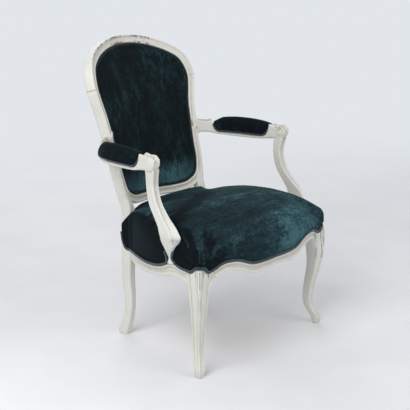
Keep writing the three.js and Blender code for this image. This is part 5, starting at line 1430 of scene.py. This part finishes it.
# The space inside the rails, from well below the seat up to its base
PRISM_FOOT = 240
edge_points, edge_out, edge_level = seat_outline(5)[:3]
prism = np.stack([edge_points - edge_out * (REBATE - GAP)] * 2)
prism[0, :, 2], prism[1, :, 2] = PRISM_FOOT, SEAT_BASE
stile_hole = widened(fine(post_rings(np.linspace(262, 470, 60)), 3, MOULDED_SHARP), 0.4)
support_hole = widened(fine(support_rings(np.linspace(NECK_FOOT - 0.05, 0.42, 60)), 4, SUPPORT_SHARP), 0.5)
leg_hole = widened(np.stack([post_top[0] - (0, 0, 60), post_top[0] + (0, 0, 0.3)]), 0.3)
holes = [prism] + [turned for hole in (stile_hole, support_hole, leg_hole) for turned in (hole, mirror(hole))]

# %% Seams, nap and painted light of the seat
def chair_places(places):
    """Metres back to the chair maker's millimetres, with the left half laid over the right."""
    x, y, z = (places * 1000 + (0, SETBACK, 0)).T
    return np.abs(x), y, z, x


def seat_rests(places, normals):
    """The underside rests on the canvas, and the velvet lies close on the back posts."""
    x, y, _, _ = chair_places(places)
    at_posts = smooth_step(y, 352, 390) * smooth_step(x, 158, 176)
    return np.maximum(smooth_step(-normals[:, 2], 0.3, 0.6), at_posts)


DART_X, DART_Y, DART_DEPTH, DART_HALF = 300, 7.75, 2.6, 1.9


def corner_darts(places):
    """A sewn dart up each front corner: a narrow groove with small puckers beside it, in metres."""
    x, y, z, _ = chair_places(places)
    beside_dart = (x - DART_X + y - DART_Y) * math.sqrt(0.5)
    outwards = (x - DART_X - y + DART_Y) * math.sqrt(0.5)
    low = (1 - smooth_step(z, 352, 396)) * smooth_step(outwards, -30, -12)
    groove = DART_DEPTH * bump(beside_dart, DART_HALF) - 0.9 * bump(np.abs(beside_dart) - 5.5, 3)
    pucker = 0.8 * np.cos(beside_dart / 2.6) * bump(beside_dart, 20) * (1 - smooth_step(z, 338, 362))
    return -(groove + pucker) * low * 0.001


def seat_nap_and_light(places, normals):
    """Painted light and nap on the pile, -1 to 2: a painted highlight down the front, painted shade towards
    the left front corner and along the sides, a little painted light on the top, and a dark trough of the nap
    across the top where two strokes meet."""
    _, y, z, x = chair_places(places)
    front = smooth_step(-normals[:, 1], 0.3, 0.7)
    side = smooth_step(np.abs(normals[:, 0]), 0.4, 0.8) * (1 - front)
    top = smooth_step(normals[:, 2], 0.5, 0.9)
    # Painted highlight down the front flank, with painted shade towards the left front corner
    front_light_and_shade = 0.25 + 1.9 * bump(x - 125, 90) * (1 - 0.5 * smooth_step(z, 372, 405))
    front_light_and_shade -= 0.75 * bump(x + 270, 60)
    trough_y = 150 + 0.42 * (x + 240)
    trough = bump(y - trough_y, 34) * smooth_step(-x, -160, 40)
    # Painted shade on side-facing velvet and a little painted light on the top
    return front * front_light_and_shade - 0.8 * side + top * (0.1 - 0.75 * trough)


# %% Seat
seat_tacks = in_metres(np.stack([*edge_points[:, :2].T, edge_level + WELT_HEIGHT / 2], -1))
seat = stuffed(
    "seat_velvet", "seat_cushion", grid_mesh("seat", seat_rings()), seat_velvet, seat_tacks, seat_rests,
    draw_in=0.003, cap=0.012, pressure=3.0, tack_reach=0.014, smoothing=6, cutters=holes,
    seams=corner_darts,
)
store(seat.data, "nap_and_light", seat_nap_and_light(vertex_places(seat.data), vertex_normals(seat.data)))

# %% Back pads
PAD_CLEARANCE = 1.3
loop_parts = np.arange(360) / 360
BACK_INSET = -PAD_CLEARANCE - 3 * GAP - WELT_HEIGHT / 2
back_tacks = in_metres(beside(loop_parts, BACK_INSET, 0))
back = stuffed(
    "back_velvet", "back_cushion", nodes["back_cushion"].data.copy(), back_velvet, back_tacks,
    lambda places, normals: smooth_step(normals[:, 1], 0.2, 0.5),
    draw_in=0.003, cap=0.022, pressure=3.0, tack_reach=0.012,
)
# The pile is paler towards the foot of the back
FOOT_LIGHT = 3.0
foot_light = 1 - smooth_step(vertex_places(back.data)[:, 2] * 1000, PANEL_BOTTOM + 8, PANEL_BOTTOM + 95)
store(back.data, "nap_and_light", FOOT_LIGHT * foot_light)
stuffed(
    "rear_panel_velvet", "back_outer_panel", nodes["back_outer_panel"].data.copy(), back_velvet,
    in_metres(beside(loop_parts, BACK_INSET, FRAME_THICKNESS)),
    lambda places, normals: smooth_step(-normals[:, 1], 0.2, 0.5),
    draw_in=0.0, cap=0.006, pressure=1.0, tack_reach=0.012, smoothing=3,
)

# %% [markdown]
# ## Arm pads
# A pad is a plump little bolster that lies in the armrest's notch and stands out a little over
# the wood. Both ends round down to the wood, which rises to meet them.

# %% Arm pads
PAD_FROM, PAD_TO, ARM_PAD_WIDTH = 0.206, 0.885, 49.0
PAD_END_TOP, PAD_ARCH, PAD_REAR_FALL, PAD_END_WIDE = 639.5, 9.5, 11.0, 0.62
# Key points: across in shares of the half width, up in shares of the height
PAD_KEYS = np.array([
    [-0.8, 0], [0, 0], [0.8, 0], [0.94, 0.1], [1, 0.3], [0.96, 0.56], [0.82, 0.78], [0.46, 0.95], [0, 1],
    [-0.46, 0.95], [-0.82, 0.78], [-0.96, 0.56], [-1, 0.3], [-0.94, 0.1],
])


def pad_foot(share):
    """The pad's foot lies on the armrest's notch, and its top is an arch, end height + arch x
    (1 - |2 x share - 1| ^ 2.5), lower at the rear end, so that it thins out where the wood rises; it
    narrows by a root curve."""
    place = PAD_FROM + (PAD_TO - PAD_FROM) * share
    x, y, low, _, _ = arm_place(place)
    out = np.abs(2 * share - 1)
    top = PAD_END_TOP + PAD_ARCH * (1 - out ** 2.5) - PAD_REAR_FALL * smooth_step(share, 0.86, 1.02)
    wide = ARM_PAD_WIDTH / 2 * (PAD_END_WIDE + (1 - PAD_END_WIDE) * np.sqrt(np.maximum(1 - out ** 5, 0)))
    return np.stack([x, y, low + GAP], -1), arm_side(place), wide, np.maximum(top - low, 2.5)


def pad_rings(shares):
    """The pad's section carried along its foot."""
    foot, side_way, wide, high = pad_foot(shares)
    across = side_way[:, None] * (PAD_KEYS[:, 0] * wide[:, None])[..., None]
    return foot[:, None] + across + np.array([0, 0, 1.0]) * (PAD_KEYS[:, 1] * high[:, None])[..., None]


pad_shares = 0.5 - 0.5 * np.cos(np.linspace(0.02, math.pi - 0.02, 70))
pad_skin = fine(pad_rings(pad_shares), 5, (0, 2))
foot, side_way, wide, high = pad_foot(0.5 - 0.5 * np.cos(np.linspace(0.05, math.pi - 0.05, 24)))
PAD_WELT_OUT, PAD_WELT_RISE = 0.96, 2.2
pad_edges = [
    foot + side_way * (wide * PAD_WELT_OUT * hand)[:, None] + (0, 0, PAD_WELT_RISE) for hand in (1, -1)
]
pad_path = fine(np.concatenate([pad_edges[0], pad_edges[1][::-1]])[None], 8)[0]
for side, turn in SIDES:
    stuffed(
        f"arm_pad_velvet_{side}", f"arm_pad_{side}", grid_mesh("arm_pad", pad_skin * turn), pad_velvet,
        in_metres(pad_path * turn), lambda places, normals: smooth_step(-normals[:, 2], 0.3, 0.6),
        voxel=0.004, draw_in=0.002, cap=0.006, pressure=4.0, tack_reach=0.006, smoothing=3,
    )

# %% [markdown]
# ## Double gimp
# The edge cord is two round strands glued side by side. Its section is a figure of eight, carried
# along the velvet's edge, and its UV map counts millimetres along it for the twist.

# %% Cord helpers
SECTION_POINTS = 28
strand_angles = np.arange(SECTION_POINTS) * 2 * math.pi / SECTION_POINTS


def double_section(width, thickness):
    """Figure of eight: width along the edge, thickness out of it, pinched by a third at the waist."""
    along, out = np.sin(strand_angles) * width / 2, np.cos(strand_angles)
    pinch = 1 - 0.34 * bump(along, width * 0.14)
    return out * pinch * thickness / 2, along


def cord_rings(points, outward, width, thickness, closed):
    """The section set square to the path, with its flat side facing outwards."""
    ahead = np.roll(points, -1, 0) - np.roll(points, 1, 0)
    if not closed:
        ahead[0], ahead[-1] = points[1] - points[0], points[-1] - points[-2]
    ahead = unit(ahead)
    side = unit(outward - ahead * np.sum(outward * ahead, -1, keepdims=True))
    rise = np.cross(ahead, side)
    out, along = double_section(width, thickness)
    return points[:, None] + side[:, None] * out[None, :, None] + rise[:, None] * along[None, :, None]


def cord_map(points):
    """U = millimetres along the path and V = share of the way round the section."""
    round_share = np.arange(SECTION_POINTS) / SECTION_POINTS
    return np.stack(np.broadcast_arrays(run_along(points)[:, None], round_share[None]), -1)


def gimp_cord(name, node, points, outward, closed, width=WELT_HEIGHT, thickness=WELT_THICKNESS, finish=gimp):
    """One finished length of cord in place of its CAD node."""
    rings = cord_rings(points, outward, width, thickness, closed)
    skin(name, rings, finish, node, closed, cord_map(points))


def even_path(points, outward, step=2.0):
    """The same path in even steps, softened so that the cord bends without a kink."""
    run = run_along(points)
    places = np.linspace(0, run[-1], int(run[-1] / step))
    path, side = (walk(places, run, values) for values in (points, outward))
    for _ in range(4):
        path[1:-1] = (path[:-2] + 2 * path[1:-1] + path[2:]) / 4
        side[1:-1] = (side[:-2] + 2 * side[1:-1] + side[2:]) / 4
    return path, unit(side)


# %% Cords round the seat
edge_points, edge_out, edge_level, _, _ = seat_half(6)
edge_path = edge_points + edge_out * (WELT_THICKNESS / 2 + GAP)
edge_path[:, 2] = edge_level + GAP + WELT_HEIGHT / 2
NECK_STAND, CURL_POINTS = WELT_HEIGHT / 2 + 0.5, 7


def curl(front):
    """The cord's turn up the side of an arm support: along the edge of the support's section, a little
    off it, from the rail to the height where the support has grown wide."""
    shares = np.linspace(0.005, 0.1 if front else 0.07, CURL_POINTS)
    rings = support_rings(shares)
    y = rings[..., 1].min(1) - NECK_STAND if front else rings[..., 1].max(1) + NECK_STAND
    outer = rings[..., 0].max(1)
    swell = SEAT_BULGE * smooth_step(rings[:, 0, 2], 315, 365)
    edge_x = side_line((y - SIDE_FRONT) / (SEAT_DEPTH - SIDE_FRONT))[0][:, 0]
    x = np.maximum(edge_x + swell + WELT_THICKNESS / 2, outer - 4.0)
    return np.stack([x, y, rings[:, 0, 2]], -1)


front_curl, rear_curl = curl(True), curl(False)
ahead_of_neck = edge_path[:, 1] < front_curl[0, 1] - WELT_HEIGHT
behind_neck = edge_path[:, 1] > rear_curl[0, 1] + WELT_HEIGHT
curl_side = np.tile([1.0, 0, 0], (CURL_POINTS, 1))
half_path = np.concatenate([edge_path[ahead_of_neck], front_curl])
half_side = np.concatenate([edge_out[ahead_of_neck], curl_side])
front_path = np.concatenate([mirror(half_path[:0:-1]), half_path])
front_side = np.concatenate([mirror(half_side[:0:-1]), half_side])
gimp_cord("seat_gimp_front", "seat_welt_front", *even_path(front_path, front_side), False)
rear_path = np.concatenate([rear_curl[::-1], edge_path[behind_neck]])
rear_side = np.concatenate([curl_side, edge_out[behind_neck]])
rear_path, rear_side = even_path(rear_path, rear_side)
for side, turn in SIDES:
    gimp_cord(f"seat_gimp_{side}", f"seat_welt_{side}", rear_path * turn, rear_side * turn, False)

# %% Cords round the back
BACK_CORDS = (
    ("back_gimp_front", "back_welt_front", WELT_THICKNESS / 2, -1),
    ("back_gimp_rear", "back_welt_rear", FRAME_THICKNESS, 1),
)
# The back's cords are the darker copy of the cord: painted shade
for name, node, depth, facing in BACK_CORDS:
    path_points = beside(loop_parts, BACK_INSET, depth)
    outward = unit(beside(loop_parts, BACK_INSET, depth + facing) - path_points)
    gimp_cord(name, node, path_points, outward, True, thickness=WELT_THICKNESS - 2 * GAP, finish=shaded_gimp)

# %% Cords round the arm pads
ARM_WELT_WIDTH, ARM_WELT_THICKNESS, SPINE_RISE = 5.2, 3.6, 14
spine_share = ((pad_path[:, 1] - ARM_FRONT) / ARM_RUN - PAD_FROM) / (PAD_TO - PAD_FROM)
spine = pad_foot(np.clip(spine_share, 0.12, 0.88))[0] + (0, 0, SPINE_RISE)
pad_outward = unit(pad_path - spine)
for side, turn in SIDES:
    gimp_cord(
        f"arm_gimp_{side}", f"arm_pad_welt_{side}", pad_path * turn, pad_outward * turn, True,
        width=ARM_WELT_WIDTH, thickness=ARM_WELT_THICKNESS,
    )
print("cords ready")
